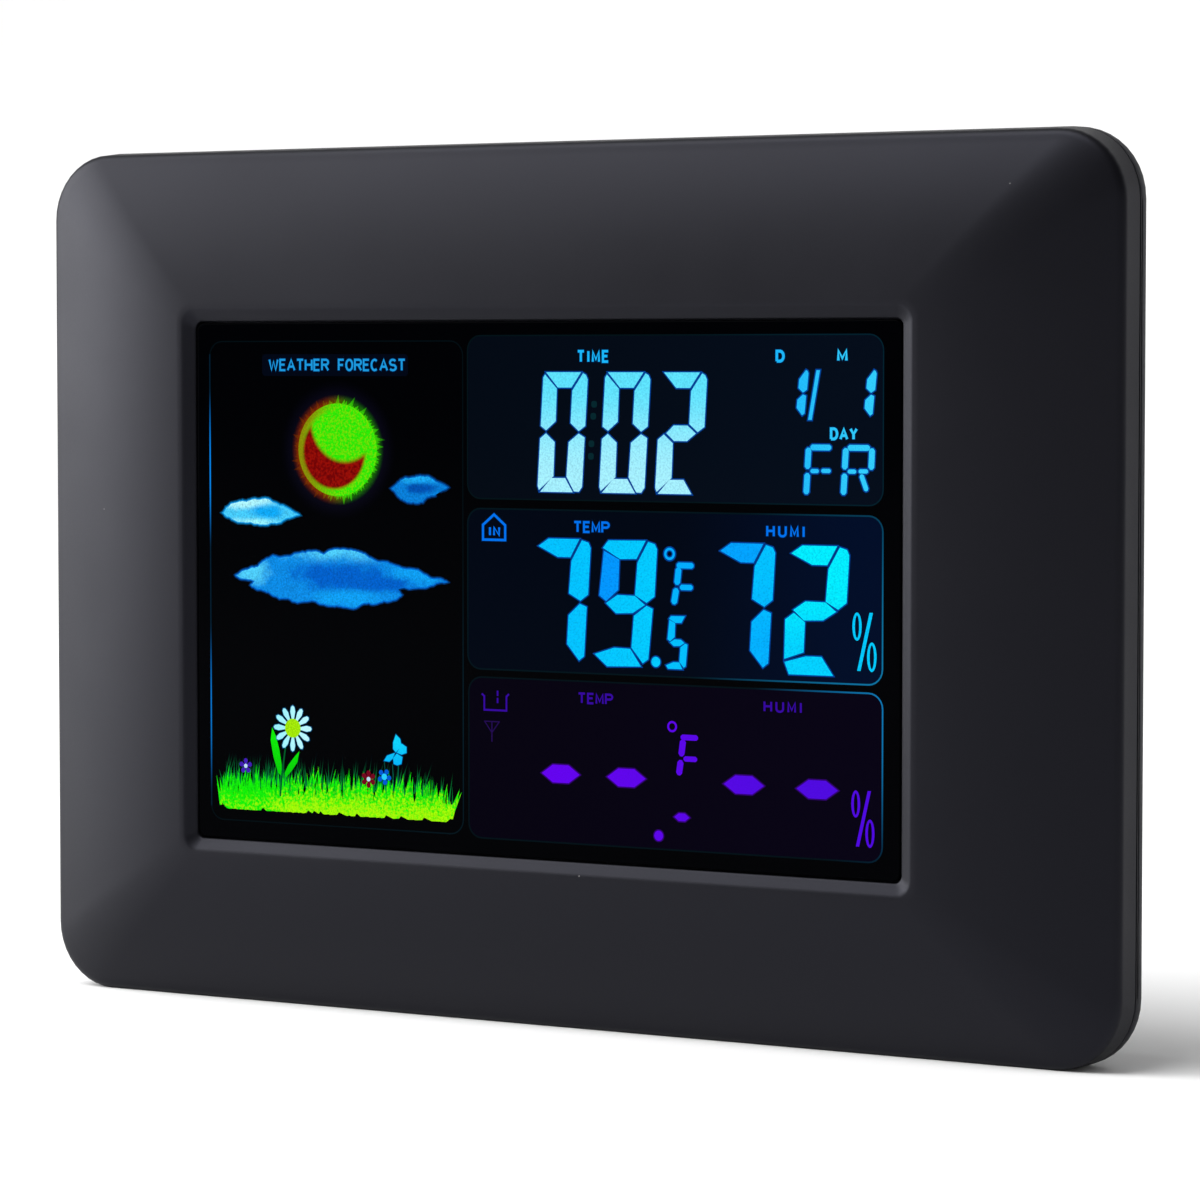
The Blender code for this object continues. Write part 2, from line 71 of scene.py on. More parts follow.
# %% [markdown]
# ## Floor, backdrop and light
# A pale sheet runs under the unit and curves up far behind it, so no edge shows. A wide overhead light
# from the upper left keeps the sheet white. One soft lamp at the left gives that side of the frame its
# broad sheen. Black plastic shows its surroundings by reflection, so the sky is kept dim: the right
# side and the pane mirror the dark front of the room.


# %% Floor sheet and lamps
def new_mesh_object(name, mesh):
    made = bpy.data.objects.new(name, mesh)
    bpy.context.scene.collection.objects.link(made)
    return made


def mesh_from(name, fill):
    """Runs fill(bm) on an empty bmesh and returns the object made from it."""
    bm = bmesh.new()
    fill(bm)
    mesh = bpy.data.meshes.new(name)
    bm.to_mesh(mesh)
    bm.free()
    return new_mesh_object(name, mesh)


def fill_backdrop(bm):
    profile = [(-3.0, 0.0), (1.6, 0.0)]
    profile += [(1.6 + 0.9 * math.sin(a), 0.9 - 0.9 * math.cos(a)) for a in
                [math.radians(d) for d in range(10, 91, 10)]]
    profile.append((2.5, 4.0))
    rows = [[bm.verts.new((x, y, z)) for y, z in profile] for x in (-5.0, 5.0)]
    for i in range(len(profile) - 1):
        bm.faces.new((rows[0][i], rows[1][i], rows[1][i + 1], rows[0][i + 1]))


backdrop = mesh_from("floor_sheet", fill_backdrop)
for polygon in backdrop.data.polygons:
    polygon.use_smooth = True
paper = bpy.data.materials.new("pale_paper")
paper.use_nodes = True
paper_shader = paper.node_tree.nodes["Principled BSDF"]
paper_shader.inputs["Base Color"].default_value = (0.86, 0.86, 0.86, 1.0)
paper_shader.inputs["Roughness"].default_value = 0.9
paper_shader.inputs["Specular IOR Level"].default_value = 0.1
backdrop.data.materials.append(paper)


def soft_lamp(name, place, aim, width, height, watts):
    data = bpy.data.lights.new(name, "AREA")
    data.shape = "RECTANGLE"
    data.size, data.size_y, data.energy = width, height, watts
    lamp = bpy.data.objects.new(name, data)
    lamp.location = place
    lamp.rotation_euler = (Vector(aim) - Vector(place)).to_track_quat("-Z", "Y").to_euler()
    bpy.context.scene.collection.objects.link(lamp)


soft_lamp("left_lamp", (-1.10, -0.42, 0.42), (0, 0, 0.07), 0.7, 0.8, 15.5)
overhead = bpy.data.lights.new("overhead", "SUN")
overhead.energy, overhead.angle = 2.6, math.radians(50)
overhead_lamp = bpy.data.objects.new("overhead", overhead)
overhead_lamp.rotation_euler = Vector((0.42, 0.42, -1.0)).to_track_quat("-Z", "Y").to_euler()
bpy.context.scene.collection.objects.link(overhead_lamp)

MIRROR_SKY, PAPER_SKY = 0.13, 0.22     # sky strength in mirrors, and what scattered light gets on top
world = bpy.data.worlds.new("studio")
bpy.context.scene.world = world
world.use_nodes = True
room = world.node_tree
sky = room.nodes["Background"]
sky.inputs["Color"].default_value = (1.0, 1.0, 1.0, 1.0)
path = room.nodes.new("ShaderNodeLightPath")
level = room.nodes.new("ShaderNodeMapRange")         # what mirrors see, and what the eye sees
level.inputs["To Min"].default_value, level.inputs["To Max"].default_value = MIRROR_SKY, 1.0
room.links.new(path.outputs["Is Camera Ray"], level.inputs["Value"])
paper_light = room.nodes.new("ShaderNodeMath")       # a little more for light scattered by the paper
paper_light.operation = "MULTIPLY_ADD"
paper_light.inputs[1].default_value = PAPER_SKY
room.links.new(path.outputs["Is Diffuse Ray"], paper_light.inputs[0])
room.links.new(level.outputs[0], paper_light.inputs[2])
room.links.new(paper_light.outputs[0], sky.inputs["Strength"])
bpy.context.scene.view_settings.view_transform = "Standard"

# %% [markdown]
# ## Small helpers for node trees
# Materials below are short recipes. A helper adds a node, sets its inputs by name and links what is
# handed in as a socket, so that each recipe reads as a list of steps.


# %% Node helpers
def add_node(tree, kind, settings=None, **inputs):
    node = tree.nodes.new(kind)
    for key, value in (settings or {}).items():
        setattr(node, key, value)
    for key, value in inputs.items():
        socket = node.inputs[int(key[1:])] if key[0] == "i" and key[1:].isdigit() \
            else node.inputs[key.replace("_", " ")]
        if isinstance(value, bpy.types.NodeSocket):
            tree.links.new(value, socket)
        else:
            socket.default_value = value
    return node


def maths(tree, operation, a, b=0.0, clamp=False):
    node = add_node(tree, "ShaderNodeMath", {"operation": operation, "use_clamp": clamp}, i0=a, i1=b)
    return node.outputs[0]


def ramp(tree, value, low, high, to_low=0.0, to_high=1.0):
    node = add_node(tree, "ShaderNodeMapRange", {"interpolation_type": "SMOOTHSTEP"}, Value=value,
                    From_Min=low, From_Max=high, To_Min=to_low, To_Max=to_high)
    return node.outputs[0]


def mix_colour(tree, factor, a, b):
    node = add_node(tree, "ShaderNodeMix", {"data_type": "RGBA"}, i0=factor, i6=a, i7=b)
    return node.outputs[2]


def new_material(name):
    made = bpy.data.materials.new(name)
    made.use_nodes = True
    return made, made.node_tree, made.node_tree.nodes["Principled BSDF"]


def new_group(name, inputs, outputs):
    """A shader node group with float inputs (with defaults) and outputs named with their kinds."""
    tree = bpy.data.node_groups.new(name, "ShaderNodeTree")
    for label, default in inputs:
        socket = tree.interface.new_socket(label, in_out="INPUT", socket_type="NodeSocketFloat")
        socket.default_value = default
    for label, kind in outputs:
        tree.interface.new_socket(label, in_out="OUTPUT", socket_type=kind)
    return tree, tree.nodes.new("NodeGroupInput"), tree.nodes.new("NodeGroupOutput")


def use_group(tree, group, **inputs):
    return add_node(tree, "ShaderNodeGroup", {"node_tree": group}, **inputs)


def object_place(tree):
    return add_node(tree, "ShaderNodeTexCoord").outputs["Object"]


def add_relief(tree, shader, grain, strength, depth_mm):
    bump = add_node(tree, "ShaderNodeBump", Strength=strength, Distance=depth_mm * MM,
                    Height=grain.outputs["Height"])
    tree.links.new(bump.outputs[0], shader.inputs["Normal"])


# %% [markdown]
# ## Effects shared by the finishes
# Moulded plastic is never quite even: the mould leaves a fine grain, the surface is a little more or
# less shiny from place to place, and dust settles on it. Each effect is one node group, used in
# several materials with its own values.

# %% Group: moulded grain
grain_group, grain_in, grain_out = new_group(
    "moulded_grain", [("Grain size", 0.35), ("Unevenness", 0.5)],
    [("Height", "NodeSocketFloat"), ("Mottle", "NodeSocketFloat"), ("Broad", "NodeSocketFloat")])
t = grain_group
at = object_place(t)
per_metre = maths(t, "DIVIDE", 1000.0, grain_in.outputs["Grain size"])
fine = add_node(t, "ShaderNodeTexNoise", Vector=at, Scale=per_metre, Detail=2.0, Roughness=0.6)
pits = add_node(t, "ShaderNodeTexVoronoi", {"feature": "SMOOTH_F1"}, Vector=at,
                Scale=maths(t, "MULTIPLY", per_metre, 0.8))
broad = add_node(t, "ShaderNodeTexNoise", Vector=at, Scale=38.0, Detail=3.0, Roughness=0.55)
height = maths(t, "ADD", maths(t, "MULTIPLY", fine.outputs[0], 0.6),
               maths(t, "MULTIPLY", pits.outputs[0], 0.4))
t.links.new(height, grain_out.inputs["Height"])
mottle = maths(t, "MULTIPLY", maths(t, "SUBTRACT", fine.outputs[0], 0.5), grain_in.outputs["Unevenness"])
t.links.new(mottle, grain_out.inputs["Mottle"])
t.links.new(maths(t, "SUBTRACT", broad.outputs[0], 0.5), grain_out.inputs["Broad"])

# %% Group: dust specks
dust_group, dust_in, dust_out = new_group(
    "dust_specks", [("Spacing", 6.0), ("Speck size", 0.12), ("Share", 0.5)],
    [("Mask", "NodeSocketFloat")])
t = dust_group
at = object_place(t)
cells = add_node(t, "ShaderNodeTexVoronoi", Vector=at,
                 Scale=maths(t, "DIVIDE", 1000.0, dust_in.outputs["Spacing"]))
reach = maths(t, "DIVIDE", dust_in.outputs["Speck size"], dust_in.outputs["Spacing"])
speck = maths(t, "LESS_THAN", cells.outputs["Distance"], reach)
lucky = maths(t, "LESS_THAN", add_node(t, "ShaderNodeSeparateColor", i0=cells.outputs["Color"]).outputs[0],
              dust_in.outputs["Share"])
t.links.new(maths(t, "MULTIPLY", speck, lucky), dust_out.inputs["Mask"])

# %% Group: display grain
lcd_group, lcd_in, lcd_out = new_group(
    "display_grain", [("Cell", 0.16), ("Strength", 0.3)], [("Factor", "NodeSocketFloat")])
t = lcd_group
at = object_place(t)
sparkle = add_node(t, "ShaderNodeTexNoise", Vector=at,
                   Scale=maths(t, "DIVIDE", 1000.0, lcd_in.outputs["Cell"]), Detail=1.0)
shade = maths(t, "MULTIPLY", maths(t, "SUBTRACT", sparkle.outputs[0], 0.5), lcd_in.outputs["Strength"])
t.links.new(maths(t, "ADD", 1.0, shade), lcd_out.inputs["Factor"])
print("groups:", [g.name for g in bpy.data.node_groups])

# %% [markdown]
# ## Plastics
# The case is black plastic with a satin, slightly rubbery coat: nearly black, quite rough, and with a
# fine grain that breaks up the sheen. The back cover has the same colour with a coarser spark
# texture, and the keys are a shade lighter and a little smoother.


# %% Plastic recipe
def plastic(name, colour, rough, grain_mm, bump, dust, depth_mm=0.02):
    made, tree, shader = new_material(name)
    grain = use_group(tree, grain_group, Grain_size=grain_mm, Unevenness=0.5)
    specks = use_group(tree, dust_group, Spacing=7.0, Speck_size=0.14, Share=dust)
    lit = tuple(min(1.0, c * 1.25) for c in colour)
    tone = mix_colour(tree, maths(tree, "ADD", grain.outputs["Broad"], 0.5, True),
                      (*colour, 1.0), (*lit, 1.0))
    tone = mix_colour(tree, maths(tree, "MULTIPLY", specks.outputs["Mask"], 0.55), tone,
                      (0.30, 0.29, 0.28, 1.0))
    tree.links.new(tone, shader.inputs["Base Color"])
    varied = maths(tree, "ADD", maths(tree, "MULTIPLY", grain.outputs["Mottle"], 0.25),
                   maths(tree, "MULTIPLY", grain.outputs["Broad"], 0.12))
    tree.links.new(maths(tree, "ADD", varied, rough, True), shader.inputs["Roughness"])
    add_relief(tree, shader, grain, bump, depth_mm)
    shader.inputs["Specular IOR Level"].default_value = 0.22
    shader.inputs["Specular Tint"].default_value = (0.76, 0.77, 0.98, 1.0)
    return made


case_finish = plastic("case_satin_black", (0.0022, 0.0022, 0.0030), 0.45, 0.30, 0.22, 0.35)
cover_finish = plastic("cover_textured_black", (0.0050, 0.0050, 0.0060), 0.52, 0.55, 0.6, 0.2, 0.05)
key_finish = plastic("key_black", (0.009, 0.009, 0.011), 0.42, 0.40, 0.2, 0.15)
dark_part_finish = plastic("socket_black", (0.010, 0.010, 0.010), 0.35, 0.4, 0.15, 0.0)
white_finish = plastic("moulded_white", (0.72, 0.72, 0.70), 0.5, 0.5, 0.2, 0.0)
rubber_finish = plastic("contact_rubber", (0.36, 0.30, 0.26), 0.8, 0.5, 0.3, 0.0)
board_finish = plastic("board_green", (0.015, 0.13, 0.05), 0.4, 0.8, 0.3, 0.0)
epoxy_finish = plastic("epoxy_black", (0.010, 0.010, 0.010), 0.25, 1.2, 0.3, 0.0)
wire_red_finish = plastic("wire_red", (0.45, 0.02, 0.02), 0.45, 0.3, 0.2, 0.0)
wire_black_finish = plastic("wire_black", (0.015, 0.015, 0.015), 0.45, 0.3, 0.2, 0.0)
wire_grey_finish = plastic("wire_grey", (0.22, 0.22, 0.24), 0.45, 0.3, 0.2, 0.0)
jacket_finish = plastic("cell_jacket", (0.05, 0.06, 0.08), 0.3, 0.5, 0.1, 0.0)

# %% [markdown]
# ## Metal, and the pane
# Plated screws and contacts have a soft directional brightness and tiny pits. The pane is glossy
# black: almost nothing of its own, so what shows is the reflection on its polish. A faint haze of
# varied roughness keeps it from looking like a perfect mirror.


# %% Metal and pane recipes
def metal(name, colour, rough):
    made, tree, shader = new_material(name)
    grain = use_group(tree, grain_group, Grain_size=0.25, Unevenness=0.6)
    tree.links.new(maths(tree, "ADD", maths(tree, "MULTIPLY", grain.outputs["Mottle"], 0.5), rough, True),
                   shader.inputs["Roughness"])
    dull = tuple(c * 0.72 for c in colour)
    tree.links.new(mix_colour(tree, maths(tree, "ADD", grain.outputs["Broad"], 0.5, True),
                              (*dull, 1.0), (*colour, 1.0)), shader.inputs["Base Color"])
    add_relief(tree, shader, grain, 0.2, 0.01)
    shader.inputs["Metallic"].default_value = 1.0
    return made


def pane_gloss(tree, shader):
    """The same polish for the bare pane and for what glows behind it."""
    grain = use_group(tree, grain_group, Grain_size=6.0, Unevenness=0.5)
    tree.links.new(maths(tree, "ADD", maths(tree, "MULTIPLY", grain.outputs["Mottle"], 0.12), 0.09, True),
                   shader.inputs["Roughness"])
    shader.inputs["Specular IOR Level"].default_value = 0.008


screw_finish = metal("plated_screw", (0.55, 0.55, 0.56), 0.34)
contact_finish = metal("nickel_contact", (0.72, 0.69, 0.62), 0.28)
pane_finish, tree, shader = new_material("pane_black_gloss")
specks = use_group(tree, dust_group, Spacing=9.0, Speck_size=0.10, Share=0.3)
tone = mix_colour(tree, maths(tree, "MULTIPLY", specks.outputs["Mask"], 0.25),
                  (0.0003, 0.0004, 0.0008, 1.0), (0.22, 0.22, 0.24, 1.0))
tree.links.new(tone, shader.inputs["Base Color"])
pane_gloss(tree, shader)
guide_finish, tree, shader = new_material("light_guide_clear")
shader.inputs["Base Color"].default_value = (0.78, 0.84, 0.88, 1.0)
pane_gloss(tree, shader)

# %% [markdown]
# ## Lofts
# Most of the case is a row of rounded rectangles skinned together. Each ring has the same number of
# points, with a few along every straight run, so that smooth shading near a corner doesn't spread
# over the whole side.

# %% Loft helpers
def fine_rect(x0, x1, z0, z1, radius, y, arc=10, run=10):
    """A rounded rectangle in millimetres, seen from the front, starting at the top right corner."""
    points = []
    corners = ((x1, z1, 0), (x0, z1, 90), (x0, z0, 180), (x1, z0, 270))
    middle_x, middle_z = (x0 + x1) / 2, (z0 + z1) / 2
    for x, z, start in corners:
        cx = x - math.copysign(radius, x - middle_x)
        cz = z - math.copysign(radius, z - middle_z)
        for k in range(arc + 1):
            a = math.radians(start + 90 * k / arc)
            points.append(Vector((cx + radius * math.cos(a), y, cz + radius * math.sin(a))))
    full = []
    for i, point in enumerate(points):
        full.append(point)
        if i % (arc + 1) == arc:
            after = points[(i + 1) % len(points)]
            full += [point.lerp(after, k / run) for k in range(1, run)]
    return full


def skin(name, rings, closed=False):
    def fill(bm):
        rows = [[bm.verts.new(Vector(p) * MM) for p in ring] for ring in rings]
        pairs = list(zip(rows, rows[1:])) + ([(rows[-1], rows[0])] if closed else [])
        for a, b in pairs:
            for i in range(len(a)):
                j = (i + 1) % len(a)
                bm.faces.new((a[i], a[j], b[j], b[i]))
        if not closed:
            bm.faces.new(rows[0])
            bm.faces.new(rows[-1][::-1])
        bmesh.ops.recalc_face_normals(bm, faces=bm.faces)
    return mesh_from(name, fill)


def smooth(obj, angle=30.0):
    obj.data.shade_smooth()
    obj.data.set_sharp_from_angle(angle=math.radians(angle))
    return obj


def finish_piece(obj, finish, body="unit", replaces=()):
    obj.data.materials.clear()
    obj.data.materials.append(finish)
    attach(obj, body)
    if replaces:
        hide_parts(*replaces)
    return obj


# %% [markdown]
# ## The front frame
# The frame is one moulding. Its face swells gently from the outer rim to a ridge round the window,
# which leaves a soft crease from each window corner to the case's corner. Inside the ridge a bevel
# drops to the pane. One row of rings does it all: side wall, rim, face, ridge, bevel, recess and the
# hidden inside, closed on itself like a picture frame.

# %% Front frame
low, high = (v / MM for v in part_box("front_bezel"))
HALF_W = high.x - 0.5          # the face's rim is half a millimetre inside the side wall's back edge
FACE_H = high.z - 0.5
RIDGE_Y = low.y
SPLIT_Y = -3.1                 # back edge of the side wall, 0.4 mm in front of the back cover
RIM_Y = RIDGE_Y + 6.0
pane_low, pane_high = (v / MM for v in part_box("window_lens"))
PANE_W, PANE_H = pane_high.x, (pane_high.z - pane_low.z) / 2
PANE_Z = (pane_high.z + pane_low.z) / 2
RIDGE_W, RIDGE_H = PANE_W + 2.4, PANE_H + 2.4
RIM_R = 1.7                    # rounding between the face and the side wall
CORNER_R = 10.5                # the case corners, seen from the front
print("face", 2 * HALF_W, "x", FACE_H, "pane", 2 * PANE_W, "x", 2 * PANE_H)


def window_ring(half_w, half_h, radius, y):
    return fine_rect(-half_w, half_w, PANE_Z - half_h, PANE_Z + half_h, radius, y)


SIDE_Y = RIM_Y + RIM_R
rings = [fine_rect(-HALF_W - 0.5, HALF_W + 0.5, 0, FACE_H + 0.5, CORNER_R, SPLIT_Y),
         fine_rect(-HALF_W - 0.45, HALF_W + 0.45, 0, FACE_H + 0.45, CORNER_R, SPLIT_Y - 0.4)]
for k in range(9):
    a = math.radians(8.5 * k)
    inset, forward = RIM_R * (1 - math.cos(a)), RIM_R * math.sin(a)
    rings.append(fine_rect(-HALF_W - 0.15 + inset, HALF_W + 0.15 - inset, max(0.0, inset - 0.15),
                           FACE_H + 0.15 - inset, CORNER_R - inset, SIDE_Y - forward))
STEPS = 30
rim_in, start_y = inset - 0.15 + 0.35, SIDE_Y - forward
for k in range(STEPS + 1):
    t = k / STEPS
    w = (HALF_W - rim_in) * (1 - t) + RIDGE_W * t
    z0 = rim_in * (1 - t) + (PANE_Z - RIDGE_H) * t
    z1 = (FACE_H - rim_in) * (1 - t) + (PANE_Z + RIDGE_H) * t
    y = start_y - 0.12 + (RIDGE_Y - start_y + 0.12) * (1.8 * t - 0.8 * t * t)
    rings.append(fine_rect(-w, w, z0, z1, 8.9 * (1 - t) + 2.6 * t, y))
rings += [window_ring(RIDGE_W - d, RIDGE_H - d, r, y) for d, r, y in (
    (0.3, 2.4, RIDGE_Y + 0.06), (0.6, 2.2, RIDGE_Y + 0.2), (1.0, 1.9, RIDGE_Y + 0.45), (1.85, 1.4, -13.12),
    (2.05, 1.3, -13.0), (2.15, 1.2, -12.8), (2.15, 1.2, -11.15), (4.5, 0.9, -11.1), (4.5, 0.9, -9.3),
    (-2.0, 2.0, -9.3), (-2.0, 2.0, -11.6))]
rings += [fine_rect(-80, 80, 14.0, 121.5, 4.0, -10.0), fine_rect(-92.5, 92.5, 2.6, 132.4, 8.3, -6.4),
          fine_rect(-93.2, 93.2, 2.1, 133.2, 8.6, SPLIT_Y)]
front_frame = smooth(skin("front_frame", rings, closed=True), 38)
finish_piece(front_frame, case_finish, replaces=["front_bezel"])
print("front frame triangles:", sum(len(p.vertices) - 2 for p in front_frame.data.polygons))

# %% [markdown]
# ## Finer copies of the other mouldings
# The rear cover, door, stand, keys and pane have the right shape already, but with razor edges. A
# copy is merged, its flat areas are dissolved to single faces, and a narrow bevel rounds every edge,
# which is what catches the light on real plastic. A fine ring is laid over the cover's front edge, so
# that its corners look round beside the front frame.


# %% Refine a CAD node
def settle(piece):
    """Make the modifiers' result the piece's own mesh."""
    made = bpy.data.meshes.new_from_object(piece.evaluated_get(bpy.context.evaluated_depsgraph_get()))
    piece.modifiers.clear()
    piece.data = made


def refine(node, name, finish, body="unit", bevel_mm=0.25, angle=30.0):
    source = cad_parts[node]
    bm = bmesh.new()
    bm.from_mesh(source.data)
    bmesh.ops.remove_doubles(bm, verts=bm.verts, dist=2e-6)
    bmesh.ops.dissolve_limit(bm, angle_limit=math.radians(1.0), verts=bm.verts, edges=bm.edges)
    mesh = bpy.data.meshes.new(name)
    bm.to_mesh(mesh)
    bm.free()
    piece = new_mesh_object(name, mesh)
    if bevel_mm:
        edge = piece.modifiers.new("soft_edges", "BEVEL")
        edge.width = bevel_mm * MM
        edge.segments = 2
        edge.limit_method = "ANGLE"
        edge.angle_limit = math.radians(angle)
        edge.use_clamp_overlap = True
        edge.miter_outer = "MITER_ARC"
        settle(piece)
    smooth(piece, angle)
    flat_first = piece.modifiers.new("flat_first", "WEIGHTED_NORMAL")    # big flat faces stay flat
    flat_first.keep_sharp = True
    settle(piece)
    return finish_piece(piece, finish, body, [node])


refine("rear_cover", "back_shell", cover_finish, bevel_mm=0.22, angle=32)
COVER_Y = SPLIT_Y + 0.4          # the parting slit is 0.4 mm wide
rim = [fine_rect(-HALF_W - 0.5 + side, HALF_W + 0.5 - side, 0.02 + foot, FACE_H + 0.5 - top,
                 CORNER_R - min(side, 1.5), COVER_Y + back) for side, top, foot, back in (
    (1.9, 1.9, 1.9, 0.02), (0.25, 0.25, 0.25, 0.02), (0.06, 0.06, 0.06, 0.08), (0, 0, 0, 0.22), (0, 0, 0, 1.75),
    (0.1, 0.02, 0, 1.95), (0.3, 0.03, 0, 2.1), (2.1, 0.04, 0, 3.45), (2.4, 0.5, 0.4, 3.45))]
cover_rim = smooth(skin("cover_rim", rim, closed=True), 38)
bm = bmesh.new()
bm.from_mesh(cover_rim.data)
middles = {face: face.calc_center_median() / MM for face in bm.faces}    # leave the top key's slot free
bmesh.ops.delete(bm, geom=[f for f, m in middles.items() if m.z > 130 and abs(m.x) < 30], context="FACES")
bm.to_mesh(cover_rim.data)
bm.free()
finish_piece(cover_rim, cover_finish)
refine("battery_door", "battery_lid", cover_finish, "door", 0.25)
refine("stand_leg", "folding_leg", cover_finish, "stand", 0.25)
refine("window_lens", "display_pane", pane_finish, bevel_mm=0.12)
refine("key_snooze_light", "snooze_bar", key_finish, "snooze_key", 0.3)
KEYS = ("set", "up", "down", "channel", "alert", "units")
for key in KEYS:
    refine(f"key_{key}", f"{key}_button", key_finish, f"{key}_key", 0.2)
for k in (1, 2, 3):
    refine(f"battery_{k}", f"cell_{k}", jacket_finish, bevel_mm=0.2, angle=40)
refine("power_socket", "power_jack", dark_part_finish, bevel_mm=0.15)

# %% Finishes for the inside pieces, which keep their CAD shapes
INSIDE = {
    white_finish: ["display_tray", "climate_sensor"],
    rubber_finish: ["contact_strip_lower", "contact_strip_upper"],
    board_finish: ["main_board", "top_board"],
    epoxy_finish: ["controller_blob"],
    contact_finish: ["clock_crystal", "radio_module", "contact_left_single", "contact_left_double",
                     "contact_right_single", "contact_right_double"],
    dark_part_finish: ["alarm_buzzer", "switch_snooze", "power_capacitor"] + [f"switch_{k}" for k in KEYS],
    screw_finish: [f"board_screw_{k}" for k in range(1, 5)],
    wire_red_finish: ["lead_red"],
    wire_black_finish: ["lead_black"],
    wire_grey_finish: ["radio_aerial"],
    guide_finish: ["light_guide", "backlight_led_1", "backlight_led_2"],
    pane_finish: ["lcd_panel"],
}
for finish, names in INSIDE.items():
    for node in names:
        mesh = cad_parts[node].data
        mesh.materials.clear()
        mesh.materials.append(finish)

# %% [markdown]
# ## Screws, by Geometry Nodes
# Four identical screws close the case. One screw is modelled once, with a domed head and a cross
# recess, and a small node tree sets a copy on each point. Moving a point moves a screw, and the tree
# can serve any number of them.


# %% Geometry Nodes helpers
def geo_tree(name, inputs):
    tree = bpy.data.node_groups.new(name, "GeometryNodeTree")
    ids = {}
    tree.interface.new_socket("Geometry", in_out="INPUT", socket_type="NodeSocketGeometry")
    for label, kind, default in inputs:
        socket = tree.interface.new_socket(label, in_out="INPUT", socket_type=kind)
        if default is not None:
            socket.default_value = default
        ids[label] = socket.identifier
    tree.interface.new_socket("Geometry", in_out="OUTPUT", socket_type="NodeSocketGeometry")
    return tree, ids, tree.nodes.new("NodeGroupInput"), tree.nodes.new("NodeGroupOutput")


def grow(name, tree, ids, values, base=None):
    """Runs a node tree with these inputs and returns its result as a plain mesh object."""
    carrier = new_mesh_object(name, base or bpy.data.meshes.new(name))
    mod = carrier.modifiers.new("grow", "NODES")
    mod.node_group = tree
    for label, value in values.items():
        mod[ids[label]] = value
    settle(carrier)
    carrier.data.name = name
    return carrier


def paint_copies(tree, copies, tin, tout):
    """The end of both trees: copies become real geometry in the chosen finish."""
    real = add_node(tree, "GeometryNodeRealizeInstances", Geometry=copies.outputs[0])
    painted = add_node(tree, "GeometryNodeSetMaterial", Geometry=real.outputs[0],
                       Material=tin.outputs["Finish"])
    tree.links.new(painted.outputs[0], tout.inputs[0])


# %% One screw, then four
def fill_screw(bm):
    profile = [(0.3, -0.3), (1.1, 1.2), (1.1, 10.2), (2.6, 10.2), (2.7, 10.5), (2.62, 11.2), (2.3, 11.8),
               (1.7, 12.15), (0.9, 12.3)]
    rows = []
    for radius, y in profile:
        rows.append([bm.verts.new((radius * MM * math.cos(a), y * MM, radius * MM * math.sin(a)))
                     for a in [math.tau * k / 32 for k in range(32)]])
    for a, b in zip(rows, rows[1:]):
        for i in range(32):
            bm.faces.new((a[i], b[i], b[(i + 1) % 32], a[(i + 1) % 32]))
    bm.faces.new(rows[0])
    bm.faces.new(rows[-1][::-1])
    bmesh.ops.recalc_face_normals(bm, faces=bm.faces)


def fill_cross(bm):
    for turn in (0, 90):
        bar = bmesh.ops.create_cube(bm, size=1.0)["verts"]
        for v in bar:
            v.co = Vector((v.co.x * 2.7 * MM, (11.9 + v.co.y * 1.6) * MM, v.co.z * 0.55 * MM))
        bmesh.ops.rotate(bm, verts=bar, cent=(0, 0, 0), matrix=Matrix.Rotation(math.radians(turn), 3, "Y"))


one_screw = mesh_from("screw_blank", fill_screw)
cross = mesh_from("cross_bit", fill_cross)
carve = one_screw.modifiers.new("cross", "BOOLEAN")
carve.object, carve.operation, carve.solver, carve.use_self = cross, "DIFFERENCE", "EXACT", True
settle(one_screw)
bpy.data.objects.remove(cross)

screw_tree, screw_ids, tin, tout = geo_tree("place_screws", [
    ("Screw", "NodeSocketObject", None), ("Turn", "NodeSocketFloat", 0.6),
    ("Finish", "NodeSocketMaterial", None)])
info = add_node(screw_tree, "GeometryNodeObjectInfo", Object=tin.outputs["Screw"])
spun = maths(screw_tree, "MULTIPLY", add_node(screw_tree, "GeometryNodeInputIndex").outputs[0],
             tin.outputs["Turn"])
angle = add_node(screw_tree, "ShaderNodeCombineXYZ", Y=spun)
copies = add_node(screw_tree, "GeometryNodeInstanceOnPoints", Points=tin.outputs["Geometry"],
                  Instance=info.outputs["Geometry"], Rotation=angle.outputs[0])
paint_copies(screw_tree, copies, tin, tout)

spots = bpy.data.meshes.new("screw_spots")
screw_boxes = [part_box(f"rear_screw_{k}") for k in range(1, 5)]
spots.from_pydata([((a.x + b.x) / 2, a.y, (a.z + b.z) / 2) for a, b in screw_boxes], [], [])
case_screws = grow("case_screws", screw_tree, screw_ids,
                   {"Screw": one_screw, "Turn": 0.7, "Finish": screw_finish}, spots)
bpy.data.objects.remove(one_screw)
smooth(case_screws, 35)
finish_piece(case_screws, screw_finish, replaces=[f"rear_screw_{k}" for k in range(1, 5)])
print("screws:", len(case_screws.data.polygons), "faces")

# %% [markdown]
# ## How the picture glows
# A colour display of this kind is a dark cell with printed colour filters, lit from behind. Each
# symbol is a flat shape just on the pane, with the pane's own polish, and an emission colour that
# shifts a little over the shape, with the fine sparkle of the cell. Light also spills a little way
# round each symbol, so most have a slightly larger, deeper coloured copy one layer below.

# %% Glow recipe
PICTURE_Y = pane_low.y           # the pane's front
LAYER = 0.012                    # depth between two layers of the picture, in millimetres


def object_axes(tree):
    place = object_place(tree)
    return place, add_node(tree, "ShaderNodeSeparateXYZ", Vector=place).outputs


